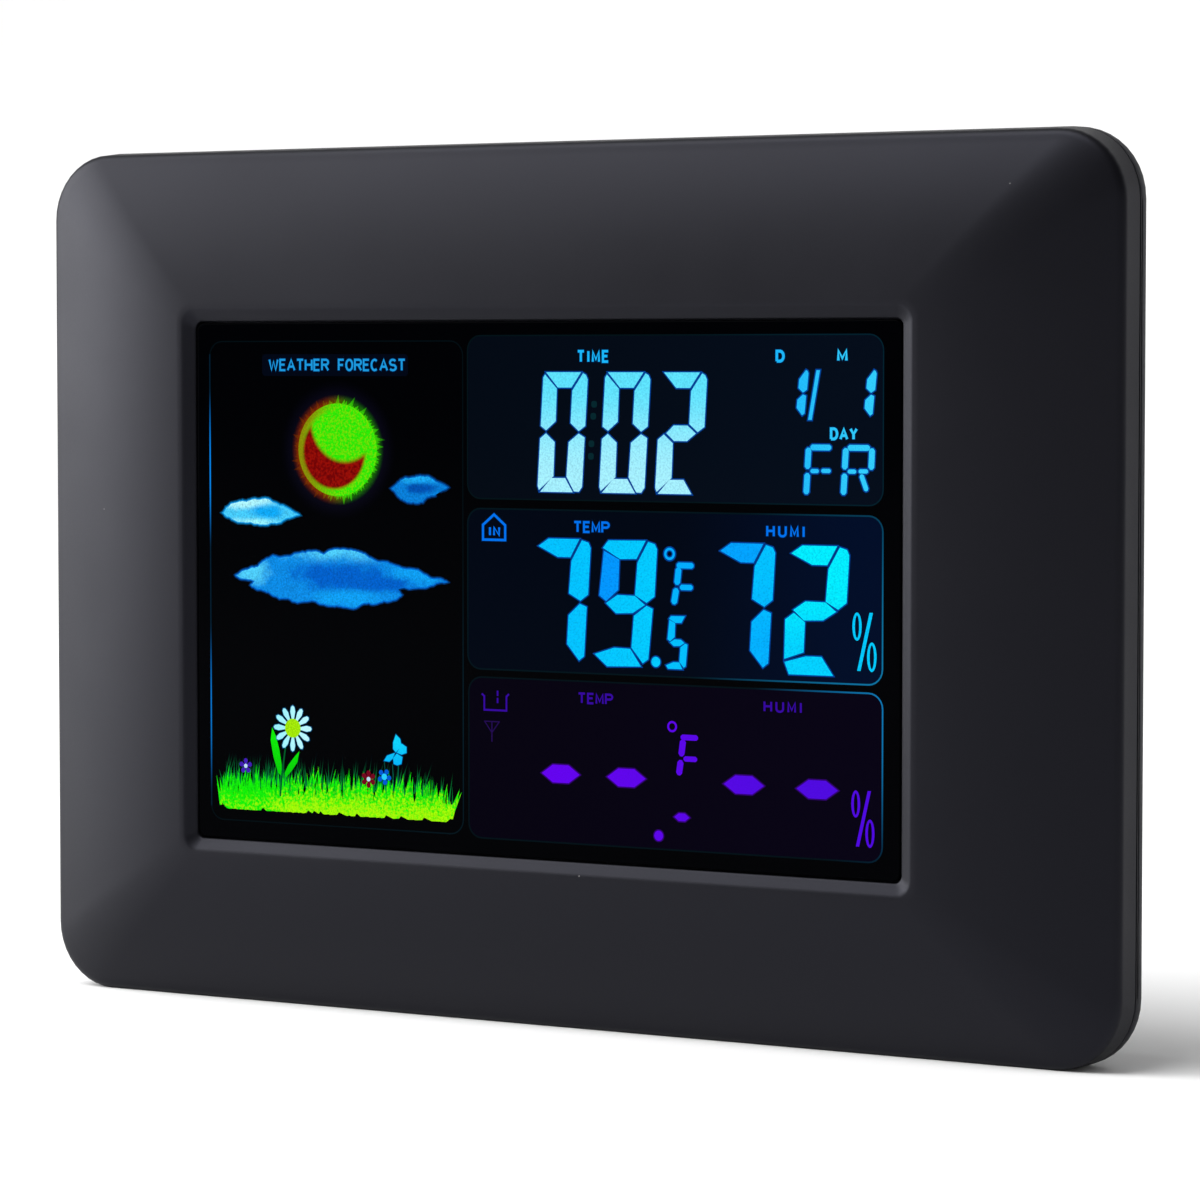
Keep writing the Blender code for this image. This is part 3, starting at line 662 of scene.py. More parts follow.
def make_glow(name, colour_of, grain=0.35, cell=0.19):
    """Glowing ink: colour_of(tree) gives a colour or a colour socket."""
    made, tree, shader = new_material(name)
    sparkle = use_group(tree, lcd_group, Cell=cell, Strength=grain)
    lit = add_node(tree, "ShaderNodeMix", {"data_type": "RGBA", "blend_type": "MULTIPLY"}, i0=1.0,
                   i6=colour_of(tree), i7=sparkle.outputs["Factor"])
    tree.links.new(lit.outputs[2], shader.inputs["Emission Color"])
    shader.inputs["Emission Strength"].default_value = 1.0
    shader.inputs["Base Color"].default_value = (0.0003, 0.0004, 0.0008, 1.0)
    pane_gloss(tree, shader)
    return made


def glow(name, colour, other=None, axis="Z", start=0.0, end=1.0, grain=0.35, cell=0.19):
    """One colour, or a blend from colour at start to other at end along an axis, in millimetres."""
    def colour_of(tree):
        if not other:
            return (*colour, 1.0)
        along = object_axes(tree)[1][axis]
        return mix_colour(tree, ramp(tree, along, start * MM, end * MM), (*colour, 1.0), (*other, 1.0))
    return make_glow(name, colour_of, grain, cell)


def anticlockwise(loop):
    area = sum(a[0] * b[1] - b[0] * a[1] for a, b in zip(loop, loop[1:] + loop[:1]))
    return loop if area > 0 else loop[::-1]


def grown(loop, by):
    """The same shape with its outline moved outward by a distance."""
    loop = anticlockwise(loop)
    made = []
    for i, point in enumerate(loop):
        before, after = Vector(loop[i - 1]), Vector(loop[(i + 1) % len(loop)])
        here = Vector(point)
        one, two = (here - before).normalized(), (after - here).normalized()
        out = Vector((one.y + two.y, -one.x - two.x))
        out = out.normalized() if out.length > 1e-6 else Vector((one.y, -one.x))
        reach = by / max(0.5, out.dot(Vector((one.y, -one.x))))
        made.append(tuple(here + out * reach))
    return made


def picture(name, shapes, ink, layer=1, halo=None, spill=0.2):
    """Flat shapes, each a list of (x, z) points in millimetres, as one piece; halo is the ink of a
    slightly larger copy one layer below."""
    y = PICTURE_Y - LAYER * layer

    def fill(bm):
        for shape in shapes:
            bm.faces.new([bm.verts.new(Vector((x, y, z)) * MM) for x, z in anticlockwise(shape)])
    if halo:
        picture(name + "_spill", [grown(shape, spill) for shape in shapes], halo, layer - 1)
    return finish_piece(mesh_from(name, fill), ink)


def rounded_box(x0, x1, z0, z1, radius, steps=6):
    return [(p.x, p.z) for p in fine_rect(x0, x1, z0, z1, radius, 0, steps, 1)]


def band(outer, inner):
    """Quads between two loops of points of the same length."""
    count = len(outer)
    return [[outer[i], outer[(i + 1) % count], inner[(i + 1) % count], inner[i]] for i in range(count)]


def outline(x0, x1, z0, z1, radius, width):
    return band(rounded_box(x0, x1, z0, z1, radius),
                rounded_box(x0 + width, x1 - width, z0 + width, z1 - width, radius - width))


def dot(cx, cz, radius, count=24, stretch=1.0):
    return [(cx + radius * math.cos(a), cz + radius * stretch * math.sin(a)) for a in
            [math.tau * k / count for k in range(count)]]


def ring_shape(cx, cz, half_w, half_h, line):
    return band(dot(cx, cz, half_w, 28, half_h / half_w),
                dot(cx, cz, half_w - line, 28, (half_h - line) / (half_w - line)))


def pen(points, width, closed=False):
    """A line of even width through the points, as quads with mitred corners."""
    sides = []
    count = len(points)
    for i, point in enumerate(points):
        here = Vector(point)
        one = here - Vector(points[i - 1]) if (i or closed) else Vector(points[1]) - here
        two = Vector(points[(i + 1) % count]) - here if (i < count - 1 or closed) else one
        one, two = one.normalized(), two.normalized()
        side = Vector((-one.y - two.y, one.x + two.x))
        side = side.normalized() if side.length > 1e-6 else Vector((-one.y, one.x))
        reach = width / 2 / max(0.72, side.dot(Vector((-one.y, one.x))))
        sides.append((tuple(here + side * reach), tuple(here - side * reach)))
    last = count if closed else count - 1
    return [[sides[i][0], sides[i][1], sides[(i + 1) % count][1], sides[(i + 1) % count][0]]
            for i in range(last)]


# %% [markdown]
# ## Panels
# The picture is split in four: a tall forecast panel at the left and three fields at the right for
# time, indoor and outdoor values. Each is a barely lit rounded field with a hairline rim. The
# backlight leaks most along the rims, at two places down the left edge and round the right corners.

# %% Panels
PANEL_R = 2.4                    # corner radius of every panel
PANELS = {"time": (-11.85, 59.8, 80.9, 105.9), "indoor": (-11.85, 59.8, 54.85, 79.6),
          "outdoor": (-11.7, 59.85, 28.95, 53.85), "forecast": (-60.2, -12.5, 29.3, 105.1)}
for name, tint, dim, bright, start in (
    ("time", "navy", (0.0008, 0.0026, 0.0062), (0.0012, 0.0036, 0.0095), -10),
    ("indoor", "blue", (0.0001, 0.0016, 0.0058), (0.0001, 0.0036, 0.0200), 20),
    ("outdoor", "violet", (0.0011, 0.0001, 0.0038), (0.0016, 0.0003, 0.0056), -10)):
    picture(f"field_{name}", [rounded_box(*PANELS[name], PANEL_R)],
            glow(f"dim_{tint}", dim, bright, "X", start, 58, 0.5), 1)


def rim_ink(name, dim, bright, centre, reach):
    """Rim colour that brightens towards one place."""
    def colour_of(tree):
        near = ramp(tree, distance_to(tree, *centre), 0.0, reach, 1.0, 0.0)
        return mix_colour(tree, near, (*dim, 1), (*bright, 1))
    return make_glow(name, colour_of, 0.2)


def distance_to(tree, x, z, across=1.0, turn=0.0):
    """Distance in millimetres from a centre, for the shader, with the width scaled and turned."""
    place = object_place(tree)
    moved = add_node(tree, "ShaderNodeVectorMath", {"operation": "SUBTRACT"}, i0=place,
                     i1=(x * MM, PICTURE_Y * MM, z * MM))
    spun = add_node(tree, "ShaderNodeVectorRotate", {"rotation_type": "Y_AXIS"}, Vector=moved.outputs[0],
                    Angle=turn)
    scaled = add_node(tree, "ShaderNodeVectorMath", {"operation": "MULTIPLY"}, i0=spun.outputs[0],
                      i1=(across / MM, 0.0, 1 / MM))
    return add_node(tree, "ShaderNodeVectorMath", {"operation": "LENGTH"},
                    i0=scaled.outputs[0]).outputs["Value"]


for name, tint, dim, bright, centre, reach, width in (
    ("time", "teal", (0.0006, 0.0060, 0.0080), (0.0006, 0.0160, 0.0280), (59, 96), 40, 0.2),
    ("indoor", "blue", (0.0004, 0.0065, 0.0100), (0.004, 0.16, 0.34), (60, 56), 34, 0.24),
    ("outdoor", "blue", (0.0004, 0.0050, 0.0075), (0.004, 0.17, 0.42), (61, 50), 24, 0.24),
    ("forecast", "teal", (0.0004, 0.0038, 0.0052), (0.001, 0.012, 0.020), (-12, 46), 30, 0.2)):
    picture(f"rim_{name}", outline(*PANELS[name], PANEL_R, width),
            rim_ink(f"rim_{name}_{tint}", dim, bright, centre, reach), 2)


def leak_colour(tree):
    height = object_axes(tree)[1]["Z"]

    def patch(middle, reach, strength):
        away = maths(tree, "ABSOLUTE", maths(tree, "SUBTRACT", height, middle * MM))
        return ramp(tree, away, 1 * MM, reach * MM, strength, 0)
    upper, lower = patch(85, 13, 1), patch(47, 14, 0.7)
    return mix_colour(tree, maths(tree, "ADD", upper, lower, True), (0.0005, 0.012, 0.026, 1),
                      (0.002, 0.24, 0.82, 1))


leak = make_glow("backlight_leak", leak_colour, 0.1)
picture("leak_left", [[(-60.22, 31.5), (-59.98, 31.5), (-59.98, 103), (-60.22, 103)]], leak, 3)

# %% [markdown]
# ## Numbers
# Each digit has seven bars. A bar's ends are cut so that neighbours meet in a narrow slanted gap, and
# the whole digit leans a few degrees. A bar that has no lit neighbour in any number may taper to a
# point. Which bars are lit makes the number: one function writes every value, in two typefaces.

# %% Seven bar digits
LIT = {"0": "abcdef", "1": "bc", "2": "abged", "5": "afgcd", "7": "abc", "9": "abcdfg", "F": "afeg"}


def digit(symbol, x, z, width, height, bar, flat, lean=0.062, tapered=False):
    """Shapes of one digit: bar is the upright bars' thickness, flat the level ones'."""
    w, h, m, b, f = width, height, height / 2, bar, flat
    g = 0.055 * b + 0.05                                   # half of the gap between two bars
    shoulder = (0.56 if tapered else 0.405) * b            # where the top right corner is cut
    shapes = {
        "a": [(0.17 * b, h), (w - shoulder - g, h), (w - b - g, h - f), (1.03 * b, h - f)],
        "b": [(w - shoulder + g, h - 0.06 * f), (w - 0.13 * b, h - 0.18 * f), (w, h - 0.46 * f),
              (w, m + 0.30 * b + g), (w - 0.42 * b, m + g), (w - b, m + 0.46 * b + g), (w - b, h - 1.2 * f)],
        "c": [(w - 0.42 * b, m - g), (w, m - 0.22 * b - g), (w, 0.36 * f), (w - 0.20 * b, 0.04 * f),
              (w - 0.53 * b, 0.06 * f), (w - 1.09 * b, 1.02 * f), (w - 1.06 * b, m - 0.50 * b - g)],
        "d": [(0.19 * b, 0), (w - 0.61 * b, 0), (w - 1.18 * b, 0.92 * f), (0.90 * b, 0.91 * f)],
        "e": [(0.38 * b, m - g), (b, m - 0.50 * b - g), (1.04 * b, 1.03 * f), (0.10 * b, 0.12 * f),
              (0, 0.38 * f), (0, m - 0.30 * b - g)],
        "f": [(0, h - 0.34 * f), (0.11 * b, h - 0.15 * f), (0.96 * b, h - 1.07 * f), (b, m + 0.56 * b + g),
              (0.38 * b, m + 1.4 * g), (0, m + 0.28 * b + g)],
        "g": [(0.46 * b + g, m), (0.92 * b + g, m + 0.5 * f), (w - 1.04 * b - g, m + 0.5 * f),
              (w - 0.46 * b - g, m), (w - 1.02 * b - g, m - 0.5 * f), (1.0 * b + g, m - 0.5 * f)]}
    if tapered:
        shapes["a"][:1] = [(0.12 * b, h - 0.42 * f), (0.65 * b, h)] if symbol in "27" else \
            [(0.06 * b, h - 0.44 * f), (0.33 * b, h - 0.03 * f)]
        shapes["a"][-1] = (1.2 * b, h - f) if symbol in "27" else (b, h - 1.03 * f)
        shapes["b"][4:6] = [(w - 0.40 * b, m + g), (w - 1.04 * b, m + 0.33 * b + g)]
        shapes["c"] = [(w - 0.40 * b, m - g), (w - 0.06 * b, m - 0.13 * b - g), (w - 0.15 * b, 0.47 * f),
                       (w - 0.43 * b, 0.24 * f), (w - 1.08 * b, 1.07 * f), (w - 1.04 * b, m - 0.48 * b - g)]
        shapes["d"] = {"9": [(-0.09 * b, 0.65 * f), (0.62 * b, 0), (w - 0.52 * b, 0.06 * f), (w - 1.14 * b, f),
                             (0.95 * b, 1.03 * f)],
                       "2": [(0.08 * b, 0.64 * f), (0.34 * b, 0), (w - 0.46 * b, 0), (w - 1.10 * b, 0.97 * f),
                             (1.14 * b, 0.97 * f)]}.get(symbol, [(0, 0.5 * f), (0.3 * b, 0), (w - 0.6 * b, 0),
                                                               (w - 1.1 * b, f), (b, f)])
        shapes["e"] = [(0.42 * b, m - 0.06 * b - g), (b, m - 0.46 * b - g), (1.02 * b, 1.18 * f),
                       (0.06 * b, 0.80 * f), (0, m - 0.36 * b - g)]
        shapes["f"][:3] = [(0.12 * b, h - 0.60 * f), (0.97 * b, h - 1.06 * f)]
        shapes["g"] = [(0.38 * b, m), (0.97 * b, m + 0.46 * f), (w - 1.05 * b, m + 0.44 * f),
                       (w - 0.49 * b, m - 0.03 * b), (w - 1.12 * b, m - 0.5 * f), (0.95 * b, m - 0.54 * f)]
    if symbol in "17":
        shapes["c"] = [(w - 0.42 * b, m - g), (w - 0.04 * b, m - 0.14 * b - g), (w - 0.04 * b, 0.5 * f),
                       (w - 0.30 * b, 0.26 * f), (w - b, 0.34 * f + 0.68 * b), (w - b, m - 0.55 * b - g)]
    return [[(x + px + lean * (pz - m), z + pz) for px, pz in shapes[k]] for k in LIT[symbol]]


def percent(x, z, width, height):
    line = 0.42
    shapes = ring_shape(x + width * 0.19, z + height * 0.76, width * 0.19, height * 0.24, line)
    shapes += ring_shape(x + width * 0.80, z + height * 0.25, width * 0.195, height * 0.25, line)
    shapes.append([(x + width * 0.20, z + 0.1), (x + width * 0.34, z + 0.1), (x + width * 0.84, z + height),
                   (x + width * 0.70, z + height)])
    return shapes


spill_blue = glow("spill_blue", (0.0006, 0.050, 0.30), grain=0.5)
spill_violet = glow("spill_violet", (0.030, 0.0, 0.16), grain=0.4)
ice = glow("ink_ice", (0.37, 0.85, 0.98), (0.11, 0.75, 0.97), "Z", 84, 99, 0.7, 0.3)
light_blue = glow("ink_light_blue", (0.010, 0.46, 0.95), (0.030, 0.60, 0.97), "X", 40, 58, 0.5)
azure = glow("ink_azure", (0.0, 0.52, 0.99), (0.0, 0.58, 0.99), "X", 0, 24, 0.7, 0.3)
deep_azure = glow("ink_deep_azure", (0.0, 0.30, 0.98), (0.0, 0.36, 0.98), "X", 12, 40, 0.7, 0.3)
cyan_low = glow("ink_cyan_low", (0.0, 0.43, 0.99), (0.0, 0.52, 0.99), "Z", 60, 72, 0.7, 0.3)
cyan_high = glow("ink_cyan_high", (0.0, 0.62, 0.99), (0.0, 0.82, 0.99), "Z", 58, 70, 0.7, 0.3)
mid_blue = glow("ink_mid_blue", (0.0, 0.40, 0.98), (0.0, 0.52, 0.98), "Z", 74, 58, 0.3)
violet = glow("ink_violet", (0.125, 0.0, 0.85), (0.078, 0.002, 0.74), "X", 2, 50, 0.3)

time_shapes = [shape for symbol, x in (("0", 1.38), ("0", 12.28), ("2", 22.0)) for shape in
               digit(symbol, x, 82.2, 7.85, 18.05, 2.6, 2.3)]
picture("time_digits", time_shapes, ice, 4, spill_blue)
picture("date_marks", digit("1", 43.2, 93.7, 3.9, 7.0, 1.45, 1.2, 0.10)
        + digit("1", 54.4, 93.7, 3.9, 7.0, 1.45, 1.2, 0.10)
        + [[(47.35, 93.35), (47.95, 93.35), (49.3, 100.6), (48.7, 100.6)]], light_blue, 4, spill_blue)


def thin_bar(x0, z0, x1, z1, width):
    """A bar with cut corners, for small letters."""
    along = Vector((x1 - x0, z1 - z0))
    unit = along.normalized()
    side = Vector((-unit.y, unit.x)) * width / 2
    cut = unit * width * 0.35
    a, b = Vector((x0, z0)), Vector((x1, z1))
    return [tuple(p) for p in (a + side * 0.4, a + cut + side, b - cut + side, b + side * 0.4,
                               b - side * 0.4, b - cut - side, a + cut - side, a - side * 0.4)]


day_bars = []
for left, wide, is_r in ((47.0, 4.3, False), (53.15, 4.5, True)):
    day_bars += [thin_bar(left + 0.75, 89.35, left + wide - 0.1, 89.35, 0.85),
                 thin_bar(left + 0.45, 89.3, left + 0.25, 86.2, 0.95),
                 thin_bar(left + 0.25, 85.6, left + 0.05, 82.5, 0.95),
                 thin_bar(left + 0.75, 85.9, left + 2.15, 85.9, 0.62),
                 thin_bar(left + 2.55, 85.95, left + 4.1, 85.95, 0.62)]
    if is_r:
        day_bars += [thin_bar(left + 4.75, 89.3, left + 4.6, 86.2, 0.95),
                     thin_bar(left + 2.95, 85.5, left + 3.9, 83.1, 0.75)]
picture("day_letters", day_bars, light_blue, 4, spill_blue)

seven, nine = digit("7", 0.12, 56.15, 9.6, 19.0, 3.25, 2.75, tapered=True), \
    digit("9", 11.7, 56.15, 9.6, 19.0, 3.25, 2.75, tapered=True)
lit_nine = LIT["9"].index("f")
picture("indoor_temperature", seven + nine[:lit_nine] + nine[lit_nine + 1:] + [dot(21.62, 57.1, 0.76)],
        azure, 4, spill_blue)
picture("indoor_temperature_deep", [nine[lit_nine]], deep_azure, 4, spill_blue)
picture("indoor_tenths", digit("5", 23.6, 56.15, 3.55, 7.9, 1.2, 1.0, tapered=True)
        + [thin_bar(25.2, 71.6, 28.1, 71.6, 0.85), thin_bar(25.55, 71.3, 25.25, 68.7, 1.0),
           thin_bar(25.15, 68.2, 24.7, 65.8, 1.0), thin_bar(25.75, 68.35, 27.95, 68.35, 0.8)]
        + ring_shape(23.97, 73.28, 0.92, 0.92, 0.38), mid_blue, 4, spill_blue)
humid_seven = digit("7", 31.75, 56.15, 9.65, 18.95, 3.3, 2.8, tapered=True)
humid_two = digit("2", 43.7, 56.05, 10.0, 18.95, 3.3, 2.8, tapered=True)
picture("humidity_seven_top", humid_seven[:1], deep_azure, 4, spill_blue)
picture("humidity_seven", humid_seven[1:], cyan_low, 4, spill_blue)
picture("humidity_two", humid_two, cyan_high, 4, spill_blue)
picture("indoor_percent", percent(54.75, 56.85, 4.0, 8.6), azure, 4)


def dash(cx, cz, half, thick):
    return [(cx - half, cz), (cx - half * 0.42, cz + thick), (cx + half * 0.42, cz + thick), (cx + half, cz),
            (cx + half * 0.42, cz - thick), (cx - half * 0.42, cz - thick)]


picture("outdoor_dashes", [dash(4.94, 39.55, 3.35, 1.35), dash(16.5, 39.5, 3.35, 1.35),
                           dash(36.7, 39.4, 3.4, 1.35), dash(49.0, 39.3, 3.45, 1.35),
                           dash(26.13, 34.05, 1.3, 0.58), dot(22.13, 31.08, 0.76)], violet, 4, spill_violet)
picture("outdoor_unit", [thin_bar(25.9, 46.0, 28.9, 46.0, 0.85), thin_bar(26.35, 45.7, 26.0, 43.15, 1.05),
                         thin_bar(25.95, 42.6, 25.6, 40.3, 1.05), thin_bar(26.4, 42.8, 28.75, 42.8, 0.8)]
        + ring_shape(24.44, 47.53, 0.85, 0.85, 0.33), violet, 4)
picture("outdoor_percent", percent(54.65, 31.2, 3.85, 8.3), violet, 4)
dim_dot = glow("ink_off_teal", (0.0015, 0.020, 0.026), grain=0.2)
picture("colon_unlit", [rounded_box(x - 0.5, x + 0.5, z - 0.5, z + 0.5, 0.35, 3) for x, z in
                        ((10.85, 95.46), (10.7, 93.66), (10.37, 89.53), (10.28, 87.65))], dim_dot, 3)

# %% [markdown]
# ## Words and small signs
# The captions are plain words for what a number means, in narrow capitals of even line width. Each
# letter is a few pen strokes on a unit square, so no typeface is needed and every word has the same
# weight. Faint light round a word comes from a dim, slightly larger copy below it.


# %% Pen letters
def bow(cx, cz, rx, rz, start, end, steps=8):
    return [(cx + rx * math.cos(math.radians(start + (end - start) * k / steps)),
             cz + rz * math.sin(math.radians(start + (end - start) * k / steps))) for k in range(steps + 1)]


LETTERS = {
    "A": [[(0, 0), (0.5, 1), (1, 0)], [(0.2, 0.34), (0.8, 0.34)]],
    "C": [bow(0.5, 0.5, 0.5, 0.5, 50, 310, 14)],
    "D": [[(0, 0), (0, 1), (0.45, 1)] + bow(0.45, 0.5, 0.55, 0.5, 80, -80, 10) + [(0.45, 0), (0, 0)]],
    "E": [[(1, 1), (0, 1), (0, 0), (1, 0)], [(0, 0.53), (0.85, 0.53)]],
    "F": [[(1, 1), (0, 1), (0, 0)], [(0, 0.5), (0.85, 0.5)]],
    "H": [[(0, 0), (0, 1)], [(1, 0), (1, 1)], [(0, 0.52), (1, 0.52)]],
    "I": [[(0.5, 0), (0.5, 1)]],
    "M": [[(0, 0), (0, 1), (0.5, 0.2), (1, 1), (1, 0)]],
    "N": [[(0, 0), (0, 1), (1, 0), (1, 1)]],
    "O": [bow(0.5, 0.5, 0.5, 0.5, 90, 450, 20)],
    "P": [[(0, 0), (0, 1), (0.55, 1)] + bow(0.6, 0.74, 0.4, 0.26, 90, -90, 8) + [(0, 0.48)]],
    "R": [[(0, 0), (0, 1), (0.55, 1)] + bow(0.6, 0.76, 0.4, 0.24, 90, -90, 8) + [(0, 0.52)],
          [(0.5, 0.52), (1, 0)]],
    "S": [bow(0.5, 0.745, 0.46, 0.255, 30, 270, 9) + bow(0.5, 0.25, 0.48, 0.25, 90, -150, 9)],
    "T": [[(0, 1), (1, 1)], [(0.5, 1), (0.5, 0)]],
    "U": [[(0, 1), (0, 0.35)] + bow(0.5, 0.3, 0.5, 0.3, 180, 360, 10) + [(1, 0.35), (1, 1)]],
    "W": [[(0, 1), (0.25, 0), (0.5, 0.85), (0.75, 0), (1, 1)]],
    "Y": [[(0, 1), (0.5, 0.48), (1, 1)], [(0.5, 0.5), (0.5, 0)]],
}
WIDE = {"I": 0.15, "M": 1.0, "W": 1.35, "E": 0.85, "F": 0.8, "A": 1.1}


def caption(name, words, left, right, base, cap_height, ink, halo, weight, space):
    """Words set to fill the space from left to right, in millimetres."""
    line = weight * cap_height
    units = sum(0.9 if c == " " else WIDE.get(c, 1.0) for c in words)
    gap = space * cap_height
    size = (right - left - line - gap * (len(words) - 1)) / units
    x, strokes = left + line / 2, []
    for c in words:
        wide = (0.9 if c == " " else WIDE.get(c, 1.0)) * size
        for path in LETTERS.get(c, []):
            strokes += pen([(x + px * wide, base + line / 2 + pz * (cap_height - line))
                            for px, pz in path], line)
        x += wide + gap
    return picture(name, strokes, ink, 4, halo, 0.1)


pale_blue = glow("ink_pale_blue", (0.012, 0.32, 0.74), grain=0.5)
bright_blue = glow("ink_bright_blue", (0.0, 0.165, 0.86), grain=0.4)
deep_violet = glow("ink_deep_violet", (0.036, 0.002, 0.34), grain=0.4)
spill_dim = glow("spill_dim", (0.0, 0.018, 0.10), grain=0.3)
picture("patch_forecast", [rounded_box(-50.0, -22.6, 99.6, 103.0, 0.6)],
        glow("patch_navy", (0.0004, 0.0018, 0.0065), grain=0.6), 2)
for name, words, left, right, base, cap_height, ink, halo, weight, space in (
    ("forecast", "WEATHER FORECAST", -48.75, -23.0, 100.35, 1.95, pale_blue, spill_dim, 0.17, 0.24),
    ("time", "TIME", 7.8, 13.5, 101.65, 1.95, light_blue, spill_dim, 0.2, 0.36),
    ("day_number", "D", 41.9, 43.45, 101.7, 1.9, light_blue, spill_dim, 0.23, 0.3),
    ("month", "M", 52.1, 53.85, 101.8, 1.9, light_blue, spill_dim, 0.23, 0.3),
    ("weekday", "DAY", 50.95, 55.55, 90.4, 1.9, light_blue, spill_dim, 0.22, 0.3),
    ("temperature_in", "TEMP", 7.2, 13.6, 76.1, 1.8, bright_blue, spill_dim, 0.19, 0.3),
    ("humidity_in", "HUMI", 40.4, 46.9, 76.1, 1.8, bright_blue, spill_dim, 0.19, 0.5),
    ("temperature_out", "TEMP", 7.95, 14.2, 50.3, 1.75, deep_violet, None, 0.19, 0.3),
    ("humidity_out", "HUMI", 40.0, 46.5, 50.3, 1.75, deep_violet, None, 0.19, 0.5),
    ("inside", "IN", -7.95, -5.85, 75.25, 1.6, bright_blue, None, 0.24, 0.42)):
    caption(f"caption_{name}", words, left, right, base, cap_height, ink, halo, weight, space)
picture("house_inside", pen([(-8.95, 74.75), (-4.95, 74.75), (-4.95, 77.0), (-6.95, 78.6), (-8.95, 77.0)], 0.38,
                            closed=True), bright_blue, 4, spill_dim, 0.08)
picture("house_outside", pen([(-9.2, 51.2), (-8.75, 50.85), (-8.75, 48.75), (-4.75, 48.75), (-4.75, 50.9),
                              (-4.3, 51.3)], 0.3) + pen([(-6.35, 51.75), (-6.35, 50.95)], 0.3)
        + pen([(-6.35, 50.65), (-6.35, 49.85)], 0.3), deep_violet, 4)
picture("aerial_sign", pen([(-7.38, 43.9), (-7.38, 47.0)], 0.22)
        + pen([(-8.7, 47.0), (-7.38, 45.3), (-6.05, 47.0)], 0.2) + pen([(-8.8, 47.0), (-5.95, 47.0)], 0.18),
        glow("ink_dark_violet", (0.016, 0.003, 0.075), grain=0.3), 4)

# %% [markdown]
# ## Sun
# The sun is a disc whose colour comes from where a point lies: green, with a dark red crescent sweeping
# from its left side to its lower right, and a yellow-green rim. Distances to two centres make the
# crescent. Round it glows a corona of tongues, red at the left and below, green at the right and above.

# %% Sun disc and corona
SUN = (-35.75, 88.15)
SUN_R = (7.35, 7.2)


def speckle(tree, size, low, high):
    """Fine random grain, 0 to 1, for two inks printed over each other in dots."""
    grain = add_node(tree, "ShaderNodeTexNoise", Vector=object_place(tree), Scale=1.0 / (size * MM),
                     Detail=1.0)
    return ramp(tree, grain.outputs[0], low, high)


def sun_colour(tree):
    rim = ramp(tree, distance_to(tree, *SUN), 5.6, 6.9)
    outside = ramp(tree, distance_to(tree, SUN[0] - 0.65, SUN[1] - 0.25), 5.45, 6.25, 1, 0)
    inside = ramp(tree, distance_to(tree, SUN[0] + 1.35, SUN[1] + 4.45), 5.75, 6.75)
    red = maths(tree, "MULTIPLY", outside, inside)
    left = ramp(tree, object_axes(tree)[1]["X"], (SUN[0] - 6) * MM, (SUN[0] + 1) * MM, 1, 0)
    tone = mix_colour(tree, maths(tree, "MULTIPLY", speckle(tree, 0.42, 0.42, 0.62), 0.6),
                      (0.022, 0.80, 0.001, 1), (0.24, 0.70, 0.001, 1))
    tone = mix_colour(tree, maths(tree, "MULTIPLY", rim, left), tone, (0.24, 0.27, 0.001, 1))
    ember = mix_colour(tree, speckle(tree, 0.4, 0.35, 0.65), (0.16, 0.0005, 0.0005, 1), (0.30, 0.004, 0.001, 1))
    return mix_colour(tree, red, tone, ember)


picture("sun_disc", [dot(*SUN, SUN_R[0], 72, SUN_R[1] / SUN_R[0])],
        make_glow("ink_sun", sun_colour, 0.9, 0.24), 5)


def halo_colour(tree):
    near = ramp(tree, distance_to(tree, *SUN), 6.5, 11.0, 1.0, 0.0)
    return mix_colour(tree, near, (0.0, 0.0, 0.0002, 1), (0.0035, 0.0028, 0.0110, 1))


picture("sun_halo", [dot(*SUN, 10.8, 60)], make_glow("ink_sun_halo", halo_colour, 0.6), 1)


def flare_colour(tree):
    near = ramp(tree, distance_to(tree, *SUN), 7.2, 8.7, 1.0, 0.0)
    right = ramp(tree, object_axes(tree)[1]["X"], (SUN[0] - 3) * MM, (SUN[0] + 3) * MM)
    base = mix_colour(tree, right, (0.17, 0.016, 0.0004, 1), (0.012, 0.16, 0.0004, 1))
    return mix_colour(tree, near, (0.0016, 0.0014, 0.0050, 1), base)


picture("sun_flare", [dot(*SUN, 8.7, 60)], make_glow("ink_sun_flare", flare_colour, 1.4, 0.3), 2)

# %% [markdown]
# Tongues, petals and grass blades all come from one Geometry Nodes tree: it copies a flat shape onto
# points, turns each by the angle stored on its point plus a random sway, and varies its length.

# %% The scatter tree
scatter_tree, scatter_ids, tin, tout = geo_tree("scatter_on_points", [
    ("Shape", "NodeSocketObject", None), ("Smallest", "NodeSocketFloat", 0.6),
    ("Largest", "NodeSocketFloat", 1.2), ("Sway", "NodeSocketFloat", 0.1), ("Seed", "NodeSocketInt", 1),
    ("Finish", "NodeSocketMaterial", None)])
t = scatter_tree
shape = add_node(t, "GeometryNodeObjectInfo", Object=tin.outputs["Shape"])
turn = add_node(t, "GeometryNodeInputNamedAttribute", {"data_type": "FLOAT"}, Name="turn")
sway = add_node(t, "FunctionNodeRandomValue", {"data_type": "FLOAT"}, Seed=tin.outputs["Seed"],
                i2=maths(t, "MULTIPLY", tin.outputs["Sway"], -1.0), i3=tin.outputs["Sway"])
angle = add_node(t, "ShaderNodeCombineXYZ", Y=maths(t, "ADD", turn.outputs[0], sway.outputs[1]))
more = add_node(t, "FunctionNodeRandomValue", {"data_type": "FLOAT"}, i2=tin.outputs["Smallest"],
                i3=tin.outputs["Largest"], Seed=tin.outputs["Seed"])
size = add_node(t, "ShaderNodeCombineXYZ", X=1.0, Y=1.0, Z=more.outputs[1])
copies = add_node(t, "GeometryNodeInstanceOnPoints", Points=tin.outputs["Geometry"],
                  Instance=shape.outputs["Geometry"], Rotation=angle.outputs[0], Scale=size.outputs[0])
